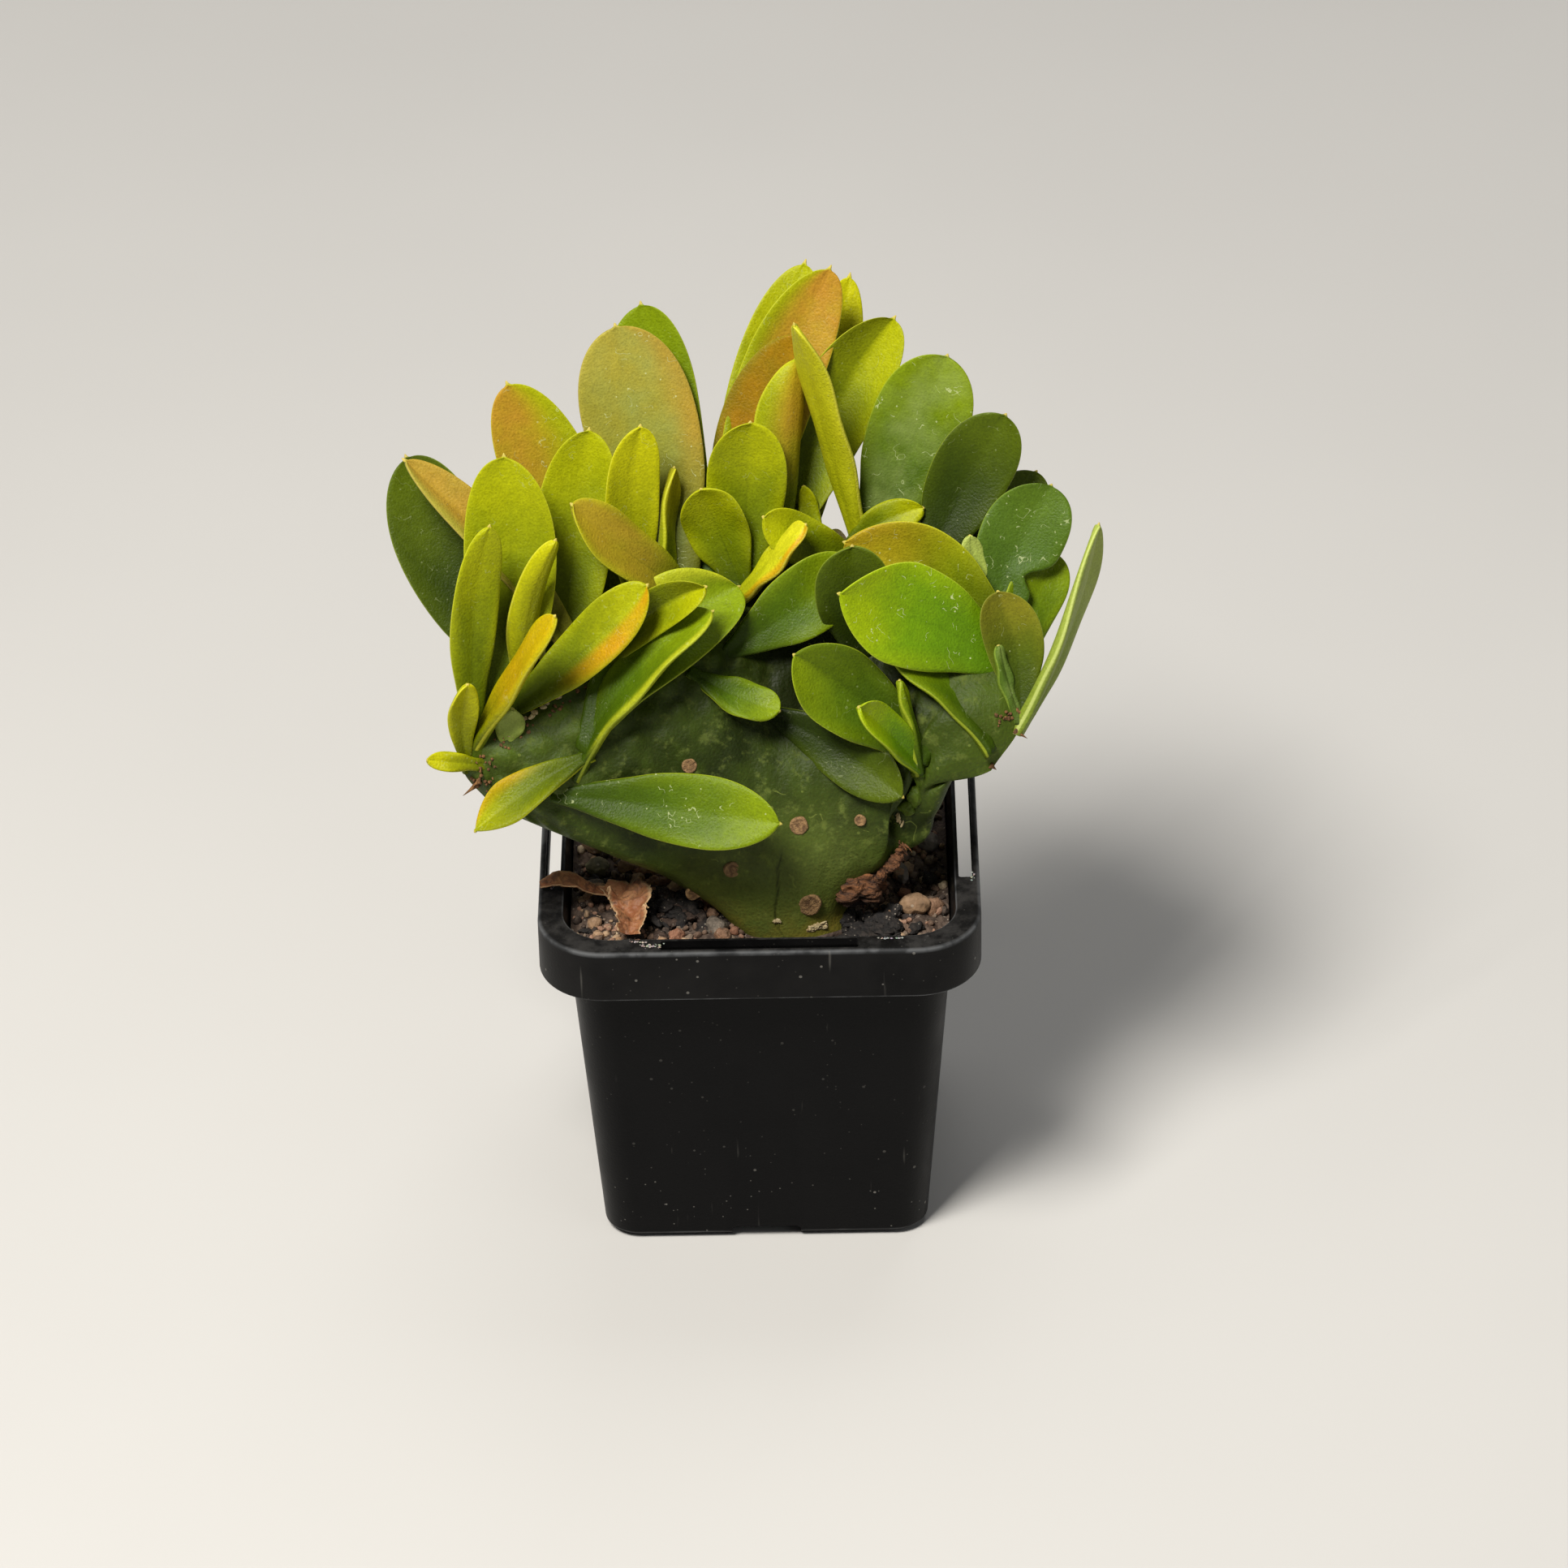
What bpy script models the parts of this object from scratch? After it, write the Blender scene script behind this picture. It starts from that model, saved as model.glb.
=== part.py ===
"""A crested monadenium in a small square nursery pot.

Everything is modelled about the middle of the pot's foot, and then moved by a millimetre
or two, so that the origin lies under the middle of the whole object's box, on the surface
that the pot stands on. +Z is up, and -Y is the side that the crest's two lobes curl towards.
Lengths are in metres; tables of places are in millimetres and go through MM.
"""

import math
import random

import bmesh
import bpy
from mathutils import Matrix, Quaternion, Vector

MM = 0.001
GAP = 0.0003
SLIVER = 0.000004

# The pot, a moulded square one of the 7 cm size
POT_WIDTH = 0.070
POT_HEIGHT = 0.0635
POT_WALL = 0.0009
LIP_HEIGHT = 0.0091
LIP_CORNER = 0.0105
RIM_OPENING = 0.062
RIM_CORNER = 0.0075
BODY_TOP_WIDTH = 0.0602
BODY_FOOT_WIDTH = 0.0526
BODY_CORNER = 0.0070
FOOT_CORNER = 0.0056
SHOULDER_DROP = 0.0105
FLOOR_LEVEL = 0.0034
FLOOR_THICKNESS = 0.0012
FOOT_RING = 0.0026
FOOT_BEVEL = 0.0012
RIM_THICKNESS = 0.0012
EDGE_STEP = 0.0003
SLOT_LENGTH = 0.031
SLOT_WIDTH = 0.0024
NOTCH_WIDTH = 0.0112
NOTCH_HEIGHT = 0.0019
DRAIN_RADIUS = 0.0032
DRAIN_SPACING = 0.0135
DRAIN_SIDES = 10
CORNER_STEPS = 5

# The potting mix
SOIL_LEVEL = 0.0585
SOIL_RELIEF = 0.0008
SOIL_SPOKES = 52
SOIL_RINGS = 8
SOIL_RING_CROWDING = 0.85
STEM_CLEARANCE = 0.0005
EDGE_SEARCH_STEPS = 24

# The stones that lie on the mix: centre (x, y), half sizes (x, y, z), turn in degrees and tone
STONES = (
    ("stone_left_back", (-26.5, 1.0), (2.3, 2.6, 1.9), 20, "tan"),
    ("stone_left_olive", (-26.0, -5.0), (2.1, 2.0, 1.5), 70, "olive"),
    ("stone_left_round", (-21.3, -5.6), (1.5, 1.6, 1.3), 10, "tan"),
    ("stone_left_pale", (-17.9, -6.6), (1.4, 1.9, 1.3), 40, "tan"),
    ("stone_right_grey", (27.0, -0.5), (1.9, 2.3, 1.5), 15, "grey"),
    ("stone_right_long", (22.6, -8.2), (1.2, 2.7, 1.2), 12, "grey"),
    ("stone_right_tan", (24.6, -18.2), (2.6, 1.9, 1.8), 5, "tan"),
)
STONE_TONES = {"tan": (0.32, 0.24, 0.17), "olive": (0.16, 0.15, 0.09), "grey": (0.20, 0.19, 0.18)}
STONE_ROUGHNESS = 0.07
STONE_SUNK_SHARE = 0.25

# The dead leaf that hangs over the left rim: middle line and half width
DRY_LEAF = (
    ((-34.6, -17.4, 64.3), 0.8),
    ((-32.6, -17.2, 65.2), 1.7),
    ((-30.2, -16.8, 64.6), 1.9),
    ((-27.0, -16.0, 62.0), 1.7),
    ((-23.5, -15.4, 60.8), 1.9),
    ((-20.4, -16.4, 61.0), 3.2),
    ((-19.8, -19.4, 61.9), 3.6),
    ((-20.2, -22.6, 61.0), 3.0),
    ((-20.0, -25.4, 60.4), 1.8),
)
DRY_LEAF_THICKNESS = 0.0007
DRY_LEAF_CURL = 0.12

# The crested stem, a thick fan on a short foot
FOOT_CENTRE = Vector((5.5, -17.0)) * MM
FOOT_HALF_WIDTH = 0.0092
FOOT_HALF_DEPTH = 0.0072
FOOT_BOTTOM = 0.040
FOOT_TOP = 0.060
FOOT_SHARE = 0.15
FAN_ACROSS = 36
FAN_UP = 10
FAN_HALF_THICK = 0.0054
LOBE_HALF_THICK = 0.0062
FURROWS = 13
FURROW_DEPTH = 0.10
FURROWS_FROM = 0.35
FURROWS_FULL = 0.80
FOOT_BLEND_END = 0.60
LOBES_FROM = 0.55
LOBES_FULL = 0.95
CREST_ROUNDED_FROM = 0.62

# The crest line from the left lobe's end, over the back, to the right lobe's end
CREST_LINE = (
    (-46, -23, 86),
    (-45, -22, 94),
    (-38, -17, 98),
    (-27, -10, 102),
    (-17, -4, 106),
    (-8, 2, 109),
    (1, 6, 110),
    (10, 8, 111),
    (18, 8, 112),
    (26, 5, 110),
    (34, 0, 106),
    (41, -7, 100),
    (42, -15, 93),
    (37, -19, 86),
)

# Where the fan's flanks bend outwards on their way up to the crest line
FLANK_LINE = (
    (-23, -21, 73),
    (-22, -20, 77),
    (-18, -19, 84),
    (-12, -18, 88),
    (-7, -17, 90),
    (-2, -16, 91),
    (2, -16, 91),
    (6, -16, 91),
    (10, -16, 91),
    (14, -16, 90),
    (18, -17, 88),
    (22, -18, 84),
    (24, -19, 79),
    (24, -20, 74),
)


# Leaves: place on the fan (u along the crest; v up the front, over the crest at 1 and down the back),
# tip, width, roll (0 faces front and up, 90 shows its edge), bend of the middle, fold and sideways bow
LEAVES = (
    ("left_outer", 0.12, 1.10, (-54, 7, 130), 15.0, 0, -2.0, 0.25, -2.4),
    ("left_orange_back", 0.16, 1.05, (-54, 1, 133), 10.0, -30, -2.0, 0.6, 4.5),
    ("left_tall", 0.14, 1.02, (-38, -3, 136), 14.4, 0, -1.5, 0.25, 2.0),
    ("left_narrow", 0.10, 0.98, (-40, -14, 130), 9.6, 48, -2.0, 0.8, -2.2),
    ("left_second", 0.20, 1.06, (-25, 6, 135), 12.5, 0, -2.0, 0.3, -1.0),
    ("left_blush", 0.26, 1.12, (-38, 12, 140), 14.0, 0, -2.0, 0.2, 0.8),
    ("top_left_pale", 0.36, 1.00, (-21, 19, 146), 18.0, 0, -2.0, 0.12, 0.0),
    ("top_left_behind", 0.39, 1.05, (-17, 24, 147), 15.0, -10, -2.0, 0.2, -2.4),
    ("left_third", 0.31, 1.00, (-17, 5, 136), 8.8, 25, -1.5, 0.3, -1.8),
    ("left_sliver", 0.34, 1.02, (-12, 7, 127), 5.5, 70, -1.0, 0.3, -0.5),
    ("middle_upright", 0.44, 0.96, (0, 13, 131), 12.6, 0, -1.5, 0.25, -0.4),
    ("left_pointing_blush", 0.37, 0.98, (-28, -5, 128), 8.0, 25, 1.5, 0.3, -2.0),
    ("middle_short", 0.43, 0.96, (-8, 5, 124), 10.2, -15, -1.5, 0.3, -0.3),
    ("left_front_broad", 0.18, 0.80, (-2, 0, 109), 16.0, -12, -1.5, 0.35, -3.0),
    ("left_front_long", 0.16, 0.94, (-16, -10, 116), 11.5, -20, -1.5, 0.35, -2.2),
    ("left_front_orange", 0.07, 0.98, (-30, -20, 117), 7.5, -60, -2.0, 0.4, -2.0),
    ("left_front_edge", 0.15, 0.76, (-6, -10, 111), 9.0, -62, -1.0, 0.4, -1.0),
    ("left_folded", 0.29, 0.92, (-7, -8, 114), 7.5, -45, -1.0, 0.8, -1.0),
    ("left_two_tone", 0.17, 0.93, (-30, -15, 128), 8.5, 45, -1.5, 0.7, -2.2),
    ("left_low_small", 0.08, 0.99, (-44, -22, 106), 5.0, 20, -0.6, 0.4, -0.8),
    ("left_low_tiny", 0.06, 0.98, (-51, -25, 94), 3.2, 0, 0.4, 0.3, 0.0),
    ("left_drooping", 0.14, 0.78, (-44, -29, 83), 6.0, 20, 1.5, 0.4, 0.0),
    ("front_level", 0.10, 0.74, (4, -31, 85), 11.6, 0, -1.0, 0.2, -0.3),
    ("hollow_small", 0.34, 0.77, (4, -16, 96), 6.4, -20, -0.5, 0.3, 0.6),
    ("right_front_broad", 0.85, 0.97, (13, -9, 113), 16.0, 0, -1.0, 0.15, 1.2),
    ("right_front_upper", 0.83, 0.98, (14, 0, 117), 15.0, -10, -1.5, 0.2, 2.6),
    ("right_bloom_tall", 0.62, 1.00, (31, 18, 140), 15.4, 0, -1.5, 0.15, 0.0),
    ("right_bloom_second", 0.71, 1.00, (40, 13, 132), 12.6, 0, -1.5, 0.25, -1.0),
    ("right_behind", 0.78, 1.05, (45, 17, 119), 11.0, 10, -1.5, 0.25, -1.0),
    ("right_notched", 0.81, 1.00, (47, 8, 122), 13.4, 0, -1.0, 0.2, -1.5),
    ("right_dark", 0.86, 1.04, (48, 5, 111), 9.5, 20, -1.0, 0.25, -1.0),
    ("right_outer_edge", 0.95, 1.02, (54, -2, 121), 8.6, 62, -1.5, 0.5, 2.4),
    ("right_olive", 0.90, 0.98, (38, -7, 112), 9.4, 0, -1.0, 0.4, 1.2),
    ("right_small_pale", 0.78, 0.98, (34, 3, 116), 4.4, 15, -1.0, 0.3, 0.6),
    ("right_front_dark", 0.87, 0.68, (6, -15, 106), 13.0, 10, -1.0, 0.3, 0.3),
    ("right_front_folded", 0.89, 0.68, (16, -21, 100), 5.5, 55, -1.0, 0.7, 0.0),
    ("front_middle_low", 0.47, 0.62, (23, -23, 84), 8.8, 10, -1.0, 0.2, -1.0),
    ("right_shaded", 0.65, 0.80, (15, -3, 116), 12.0, -20, -1.0, 0.3, -0.5),
    ("middle_broad_olive", 0.39, 0.84, (16, -1, 112), 11.5, 10, -1.0, 0.3, 0.0),
    ("middle_narrow_orange", 0.43, 0.93, (9, 5, 116), 6.5, -58, -0.5, 0.5, 0.0),
    ("middle_level", 0.60, 0.98, (2, 3, 120), 8.5, 0, 1.5, 0.3, 0.0),
    ("top_edge_on", 0.63, 0.96, (7, 8, 152), 8.0, 62, -2.0, 0.5, 4.5),
    ("top_tan_folded", 0.48, 0.96, (9, 12, 144), 8.0, -35, -2.0, 0.6, -2.5),
    ("top_orange_left", 0.41, 1.00, (10, 18, 144), 9.5, -20, -2.0, 0.3, -4.0),
    ("top_blush_right", 0.43, 1.08, (13, 29, 150), 11.0, 0, -2.0, 0.25, -3.4),
    ("top_back_tall", 0.40, 1.14, (9, 38, 146), 12.0, -10, -2.0, 0.3, -2.0),
    ("top_back_tip", 0.54, 1.14, (16, 37, 144), 9.0, 10, -2.0, 0.3, 0.5),
    ("top_right_yellow", 0.51, 1.06, (23, 25, 143), 13.0, 0, -2.0, 0.45, -2.8),
    ("middle_tiny", 0.54, 1.00, (8, 12, 120), 3.2, 0, -0.5, 0.4, 0.0),
    ("ridge_small_right", 0.60, 0.98, (27, 8, 118), 5.5, 0, 0.5, 0.3, -1.5),
    ("right_lower_behind", 0.92, 0.86, (20, -6, 102), 8.0, 20, -1.0, 0.2, 3.0),
    ("right_small_front", 0.88, 0.96, (37, -12, 105), 4.5, 20, -0.5, 0.3, 0.0),
    ("right_thin_front", 0.88, 0.70, (24, -15, 100), 6.0, 75, -0.5, 0.3, 1.0),
)

# The leaf's outline: share of its length, half width as a share, half thickness in millimetres
LEAF_STATIONS = (
    (0.00, 0.20, 1.20),
    (0.20, 0.49, 1.05),
    (0.43, 0.86, 0.95),
    (0.66, 1.00, 0.85),
    (0.85, 0.82, 0.65),
    (0.96, 0.47, 0.50),
)
LEAF_SECTION = ((-1, 0), (-0.5, 1), (0.5, 1), (1, 0), (0.5, -1), (-0.5, -1))
LEAF_LEAST_HALF = 0.0011
LEAF_LEVEL = 0.4
LEAF_SUNK = 0.0030
FACING = Vector((0.0, -0.825, 0.565))
CREST_LEAN = FACING.cross(Vector((1, 0, 0)))

# The leaves that lean away behind the crest line: place along it, then up, away and sideways in millimetres.
# Below them a row of smaller leaves spreads from the fan's back.
BACK_ROW = (
    (0.14, 13, 14, -10),
    (0.20, 14, 18, -6),
    (0.27, 10, 20, -7),
    (0.34, 15, 17, -6),
    (0.43, 14, 20, -4),
    (0.50, 9, 24, 0),
    (0.57, 8, 23, 4),
    (0.65, 10, 21, 7),
    (0.73, 13, 17, 8),
    (0.81, 14, 14, 10),
)
BACK_ROW_ROOT = 0.95
LOW_BACK_LEAVES = 9
LOW_BACK_ROOT = 0.80
LOW_BACK_ENDS = (0.12, 0.88)
LOW_BACK_SPREAD = 22
BACK_FOLD = 0.25
SEED = 7

# Leaf scars on the stem's front: place on the fan and radius
SCARS = (
    (0.54, 0.38, 1.4),
    (0.77, 0.42, 1.1),
    (0.26, 0.30, 1.3),
    (0.61, 0.20, 1.9),
    (0.06, 0.26, 1.2),
    (0.26, 0.60, 1.1),
)
SCAR_HEIGHT = 0.0005
SCAR_DEPTH = 0.0020
SCAR_SIDES = 9

# The dry brown lump where an old branch was lost, on the foot's right side
CALLUS_CENTRE = Vector((17.4, -18.8, 64.2)) * MM
CALLUS_SIZE = Vector((4.0, 3.4, 3.4)) * MM
CALLUS_ROUGHNESS = 0.12


def clear_scene():
    """Empties the file that the script runs in."""
    for obj in list(bpy.data.objects):
        bpy.data.objects.remove(obj)


def material(name, colour, roughness, metallic=0.0):
    """A plain Principled material."""
    made = bpy.data.materials.new(name)
    made.use_nodes = True
    shader = made.node_tree.nodes["Principled BSDF"]
    shader.inputs["Base Color"].default_value = (*colour, 1.0)
    shader.inputs["Roughness"].default_value = roughness
    shader.inputs["Metallic"].default_value = metallic
    return made


def add_object(name, bm, finish, smooth_angle=35):
    """Turns a bmesh into a named object with one material."""
    bmesh.ops.recalc_face_normals(bm, faces=bm.faces)
    mesh = bpy.data.meshes.new(name)
    bm.to_mesh(mesh)
    bm.free()
    mesh.materials.append(finish)
    mesh.shade_smooth()
    mesh.set_sharp_from_angle(angle=math.radians(smooth_angle))
    obj = bpy.data.objects.new(name, mesh)
    bpy.context.scene.collection.objects.link(obj)
    return obj


def rounded_square(half, radius, level):
    """The points of a square ring with round corners, going anticlockwise seen from above."""
    points = []
    for corner in range(4):
        start = corner * math.pi / 2
        sign_x = (1, -1, -1, 1)[corner]
        sign_y = (1, 1, -1, -1)[corner]
        centre = Vector((sign_x, sign_y)) * (half - radius)
        for step in range(CORNER_STEPS + 1):
            angle = start + step / CORNER_STEPS * math.pi / 2
            points.append((centre.x + radius * math.cos(angle), centre.y + radius * math.sin(angle), level))
    return points


def loft(bm, rings, close_ends=True):
    """Joins rings of the same count into a tube, with a face at each end."""
    loops = [[bm.verts.new(point) for point in ring] for ring in rings]
    count = len(loops[0])
    for lower, upper in zip(loops, loops[1:]):
        for i in range(count):
            j = (i + 1) % count
            bm.faces.new((lower[i], lower[j], upper[j], upper[i]))
    if close_ends:
        bm.faces.new(loops[0][::-1])
        bm.faces.new(loops[-1])
    return loops


def box_cutter(name, centre, size):
    """A hidden box for a Boolean cut."""
    bm = bmesh.new()
    bmesh.ops.create_cube(bm, size=1.0)
    bmesh.ops.scale(bm, vec=size, verts=bm.verts)
    bmesh.ops.translate(bm, vec=centre, verts=bm.verts)
    return cutter(name, bm)


def cutter(name, bm):
    """A hidden object that only cuts others."""
    mesh = bpy.data.meshes.new(name)
    bmesh.ops.recalc_face_normals(bm, faces=bm.faces)
    bm.to_mesh(mesh)
    bm.free()
    obj = bpy.data.objects.new(name, mesh)
    obj.hide_render = True
    obj.display_type = "WIRE"
    bpy.context.scene.collection.objects.link(obj)
    return obj


def cut(obj, tool):
    """Cuts one object from another with a Boolean that stays live."""
    modifier = obj.modifiers.new(tool.name, "BOOLEAN")
    modifier.operation = "DIFFERENCE"
    modifier.solver = "EXACT"
    modifier.object = tool


def body_half(level):
    """Half the width of the pot's tapered body at a level."""
    share = level / (POT_HEIGHT - SHOULDER_DROP)
    return (BODY_FOOT_WIDTH + (BODY_TOP_WIDTH - BODY_FOOT_WIDTH) * share) / 2


def pot_skin():
    """The pot's skin before its holes are cut, with the low ring under it that it stands on."""
    half = POT_WIDTH / 2
    opening = RIM_OPENING / 2
    collar = opening - EDGE_STEP
    shoulder = POT_HEIGHT - SHOULDER_DROP
    lip_foot = POT_HEIGHT - LIP_HEIGHT
    under_rim = POT_HEIGHT - RIM_THICKNESS
    wall = POT_WALL
    foot = body_half(0) - FOOT_BEVEL
    rings = (
        (foot, FOOT_CORNER, 0.0),
        (body_half(0), FOOT_CORNER, FOOT_BEVEL),
        (body_half(shoulder), BODY_CORNER, shoulder),
        (collar, RIM_CORNER, shoulder + wall),
        (opening + EDGE_STEP, RIM_CORNER, under_rim),
        (half - wall - EDGE_STEP, LIP_CORNER - wall, under_rim),
        (half - wall, LIP_CORNER - wall, lip_foot),
        (half, LIP_CORNER, lip_foot),
        (half - EDGE_STEP, LIP_CORNER, POT_HEIGHT - 3 * EDGE_STEP),
        (half - 4 * EDGE_STEP, LIP_CORNER - 3 * EDGE_STEP, POT_HEIGHT),
        (opening, RIM_CORNER, POT_HEIGHT),
        (collar - wall, RIM_CORNER - wall, shoulder + wall + EDGE_STEP),
        (body_half(shoulder) - wall, BODY_CORNER - wall, shoulder),
        (body_half(FLOOR_LEVEL) - wall, FOOT_CORNER - wall, FLOOR_LEVEL),
    )
    bm = bmesh.new()
    loops = loft(bm, [rounded_square(*ring) for ring in rings], close_ends=False)
    bm.faces.new(loops[-1])
    inside_ring = (foot - FOOT_RING, FOOT_CORNER - FOOT_RING)
    ceiling = FLOOR_LEVEL - FLOOR_THICKNESS
    inner = [bm.verts.new(point) for point in rounded_square(*inside_ring, 0.0)]
    under_floor = [bm.verts.new(point) for point in rounded_square(*inside_ring, ceiling)]
    count = len(inner)
    for i in range(count):
        j = (i + 1) % count
        bm.faces.new((loops[0][j], loops[0][i], inner[i], inner[j]))
        bm.faces.new((inner[j], inner[i], under_floor[i], under_floor[j]))
    bm.faces.new(under_floor[::-1])
    return bm


def make_pot(finish):
    """The pot, with four slots in its rim, a notch in each side of its foot and five drain holes."""
    pot = add_object("pot", pot_skin(), finish)
    slot_reach = (RIM_OPENING / 2 + POT_WIDTH / 2 - POT_WALL) / 2 + EDGE_STEP
    foot_span = BODY_FOOT_WIDTH + 2 * FOOT_BEVEL
    for turn in range(4):
        around = Matrix.Rotation(turn * math.pi / 2, 3, "Z")
        slot_size = Vector((SLOT_LENGTH, SLOT_WIDTH, 3 * RIM_THICKNESS))
        slot_place = Vector((0, slot_reach, POT_HEIGHT))
        cut(pot, box_cutter(f"slot_cutter_{turn}", around @ slot_place, turned_size(slot_size, turn)))
        notch_size = Vector((NOTCH_WIDTH, foot_span / 4, 2 * NOTCH_HEIGHT))
        notch_place = Vector((0, foot_span / 2, 0))
        cut(pot, box_cutter(f"notch_cutter_{turn}", around @ notch_place, turned_size(notch_size, turn)))
    reach = DRAIN_SPACING / math.sqrt(2)
    for i, (x, y) in enumerate(((0, 0), (1, 1), (-1, 1), (-1, -1), (1, -1))):
        bm = bmesh.new()
        size = {"radius1": DRAIN_RADIUS, "radius2": DRAIN_RADIUS, "depth": 4 * FLOOR_THICKNESS}
        bmesh.ops.create_cone(bm, cap_ends=True, segments=DRAIN_SIDES, **size)
        bmesh.ops.translate(bm, vec=(x * reach, y * reach, FLOOR_LEVEL), verts=bm.verts)
        cut(pot, cutter(f"drain_cutter_{i}", bm))
    return pot


def turned_size(size, turn):
    """The size of a box after a number of quarter turns about +Z."""
    return Vector((size.y, size.x, size.z)) if turn % 2 else size


def catmull(points, t):
    """A smooth curve through the points, read at t from 0 to 1."""
    spans = len(points) - 1
    place = min(max(t, 0.0), 1.0) * spans
    i = min(int(place), spans - 1)
    f = place - i
    p1, p2 = Vector(points[i]), Vector(points[i + 1])
    p0 = Vector(points[i - 1]) if i > 0 else p1 * 2 - p2
    p3 = Vector(points[i + 2]) if i + 2 <= spans else p2 * 2 - p1
    square = 2 * p0 - 5 * p1 + 4 * p2 - p3
    cube = 3 * (p1 - p2) + p3 - p0
    return 0.5 * (2 * p1 + (p2 - p0) * f + square * f**2 + cube * f**3)


def smoothstep(low, high, value):
    """0 below low, 1 above high, and smooth between."""
    t = min(max((value - low) / (high - low), 0.0), 1.0)
    return t * t * (3 - 2 * t)


def fan_middle(u, v):
    """A point of the fan's middle sheet: u runs along the crest line, v from the foot up to it."""
    foot_x = FOOT_CENTRE.x - FOOT_HALF_WIDTH * math.cos(u * math.pi)
    if v <= FOOT_SHARE:
        return Vector((foot_x, FOOT_CENTRE.y, FOOT_BOTTOM + (FOOT_TOP - FOOT_BOTTOM) * v / FOOT_SHARE))
    t = (v - FOOT_SHARE) / (1 - FOOT_SHARE)
    start = Vector((foot_x, FOOT_CENTRE.y, FOOT_TOP))
    bend = catmull(FLANK_LINE, u) * MM
    end = catmull(CREST_LINE, u) * MM
    return start * (1 - t) ** 2 + bend * 2 * t * (1 - t) + end * t**2


def fan_normal(u, v):
    """The direction that the fan's front faces at a point."""
    step = 0.01
    along = fan_middle(min(u + step, 1), v) - fan_middle(max(u - step, 0), v)
    up = fan_middle(u, min(v + step, 1)) - fan_middle(u, max(v - step, 0))
    normal = along.cross(up)
    return normal.normalized()


def fan_half_thickness(u, v):
    """Half the fan's thickness, falling to nothing at its edge, with furrows that run up to the crest."""
    blend = smoothstep(FOOT_SHARE, FOOT_BLEND_END, v)
    rise = smoothstep(LOBES_FROM, LOBES_FULL, abs(2 * u - 1))
    upper = FAN_HALF_THICK + (LOBE_HALF_THICK - FAN_HALF_THICK) * rise
    body = FOOT_HALF_DEPTH * (1 - blend) + upper * blend
    edge = math.sin(u * math.pi) * (1 - blend) + math.sqrt(max(0.0, 1 - abs(2 * u - 1) ** 6)) * blend
    crest = math.sqrt(max(0.0, 1 - smoothstep(CREST_ROUNDED_FROM, 1.0, v) ** 2))
    wave = 0.5 + 0.5 * math.cos(2 * math.pi * FURROWS * u)
    furrow = 1 - FURROW_DEPTH * smoothstep(FURROWS_FROM, FURROWS_FULL, v) * wave
    return body * edge * crest * furrow


def fan_point(u, v, side):
    """A point on the fan's skin: side 1 is the front, -1 the back."""
    return fan_middle(u, v) + fan_normal(u, v) * fan_half_thickness(u, v) * side


def fan_stations():
    """Where the fan's mesh has its points: closer together at its edges and towards the crest."""
    across = [0.5 - 0.5 * math.cos(math.pi * i / FAN_ACROSS) for i in range(FAN_ACROSS + 1)]
    upward = [FOOT_SHARE + (1 - FOOT_SHARE) * math.sin(math.pi / 2 * j / (FAN_UP - 1)) for j in range(FAN_UP)]
    return across, [0.0] + upward


def fan_mesh():
    """The crested stem as one closed skin: a front and a back sheet that share their edge."""
    bm = bmesh.new()
    us, vs = fan_stations()
    front, back = {}, {}
    for j, v in enumerate(vs):
        for i, u in enumerate(us):
            on_edge = i in (0, FAN_ACROSS) or j == FAN_UP
            front[i, j] = bm.verts.new(fan_middle(u, v) if on_edge else fan_point(u, v, 1))
            back[i, j] = front[i, j] if on_edge else bm.verts.new(fan_point(u, v, -1))
    for j in range(FAN_UP):
        for i in range(FAN_ACROSS):
            for sheet, order in ((front, 1), (back, -1)):
                corners = [sheet[i, j], sheet[i + 1, j], sheet[i + 1, j + 1], sheet[i, j + 1]][::order]
                bm.faces.new(list(dict.fromkeys(corners)))
    rim = [front[i, 0] for i in range(FAN_ACROSS + 1)] + [back[i, 0] for i in range(FAN_ACROSS - 1, 0, -1)]
    bm.faces.new(rim)
    bmesh.ops.triangulate(bm, faces=bm.faces)
    return bm


def leaf_axis(root, tip, bend, bow, roll):
    """The leaf's middle line as a function, its face's direction and its direction across."""
    along = (tip - root).normalized()
    face = (FACING - along * FACING.dot(along)).normalized()
    across = along.cross(face)
    spin = Quaternion(along, math.radians(roll))
    face = spin @ face
    across = spin @ across
    control = (root + tip) / 2 + face * bend * 2 * MM + across * bow * 2 * MM

    def middle(t):
        return root * (1 - t) ** 2 + control * 2 * t * (1 - t) + tip * t**2

    return middle, face, across


def leaf_mesh(u, v, tip, width, roll, bend, fold, bow):
    """One leaf: a thick blade with a narrow root, widest past its middle, ending in a short point."""
    side = 1 if v <= 1 else -1
    level = v if v <= 1 else 2 - v
    skin = fan_point(u, level, side)
    tip = Vector(tip) * MM
    root = skin - (tip - skin).normalized() * LEAF_SUNK
    middle, face, across = leaf_axis(root, tip, bend, bow, roll)
    half = width / 2 * MM
    rings = []
    for t, share, thick in LEAF_STATIONS:
        centre = middle(t)
        lift = fold * half * share
        ring = []
        for s, sign in LEAF_SECTION:
            raised = face * (lift * (s * s - LEAF_LEVEL) + sign * thick * MM)
            ring.append(centre + across * s * max(half * share, LEAF_LEAST_HALF) + raised)
        rings.append(ring)
    bm = bmesh.new()
    loops = loft(bm, rings, close_ends=False)
    bm.faces.new(loops[0][::-1])
    point = bm.verts.new(tip)
    last = loops[-1]
    for i, vertex in enumerate(last):
        bm.faces.new((vertex, last[(i + 1) % len(last)], point))
    return bm


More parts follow.
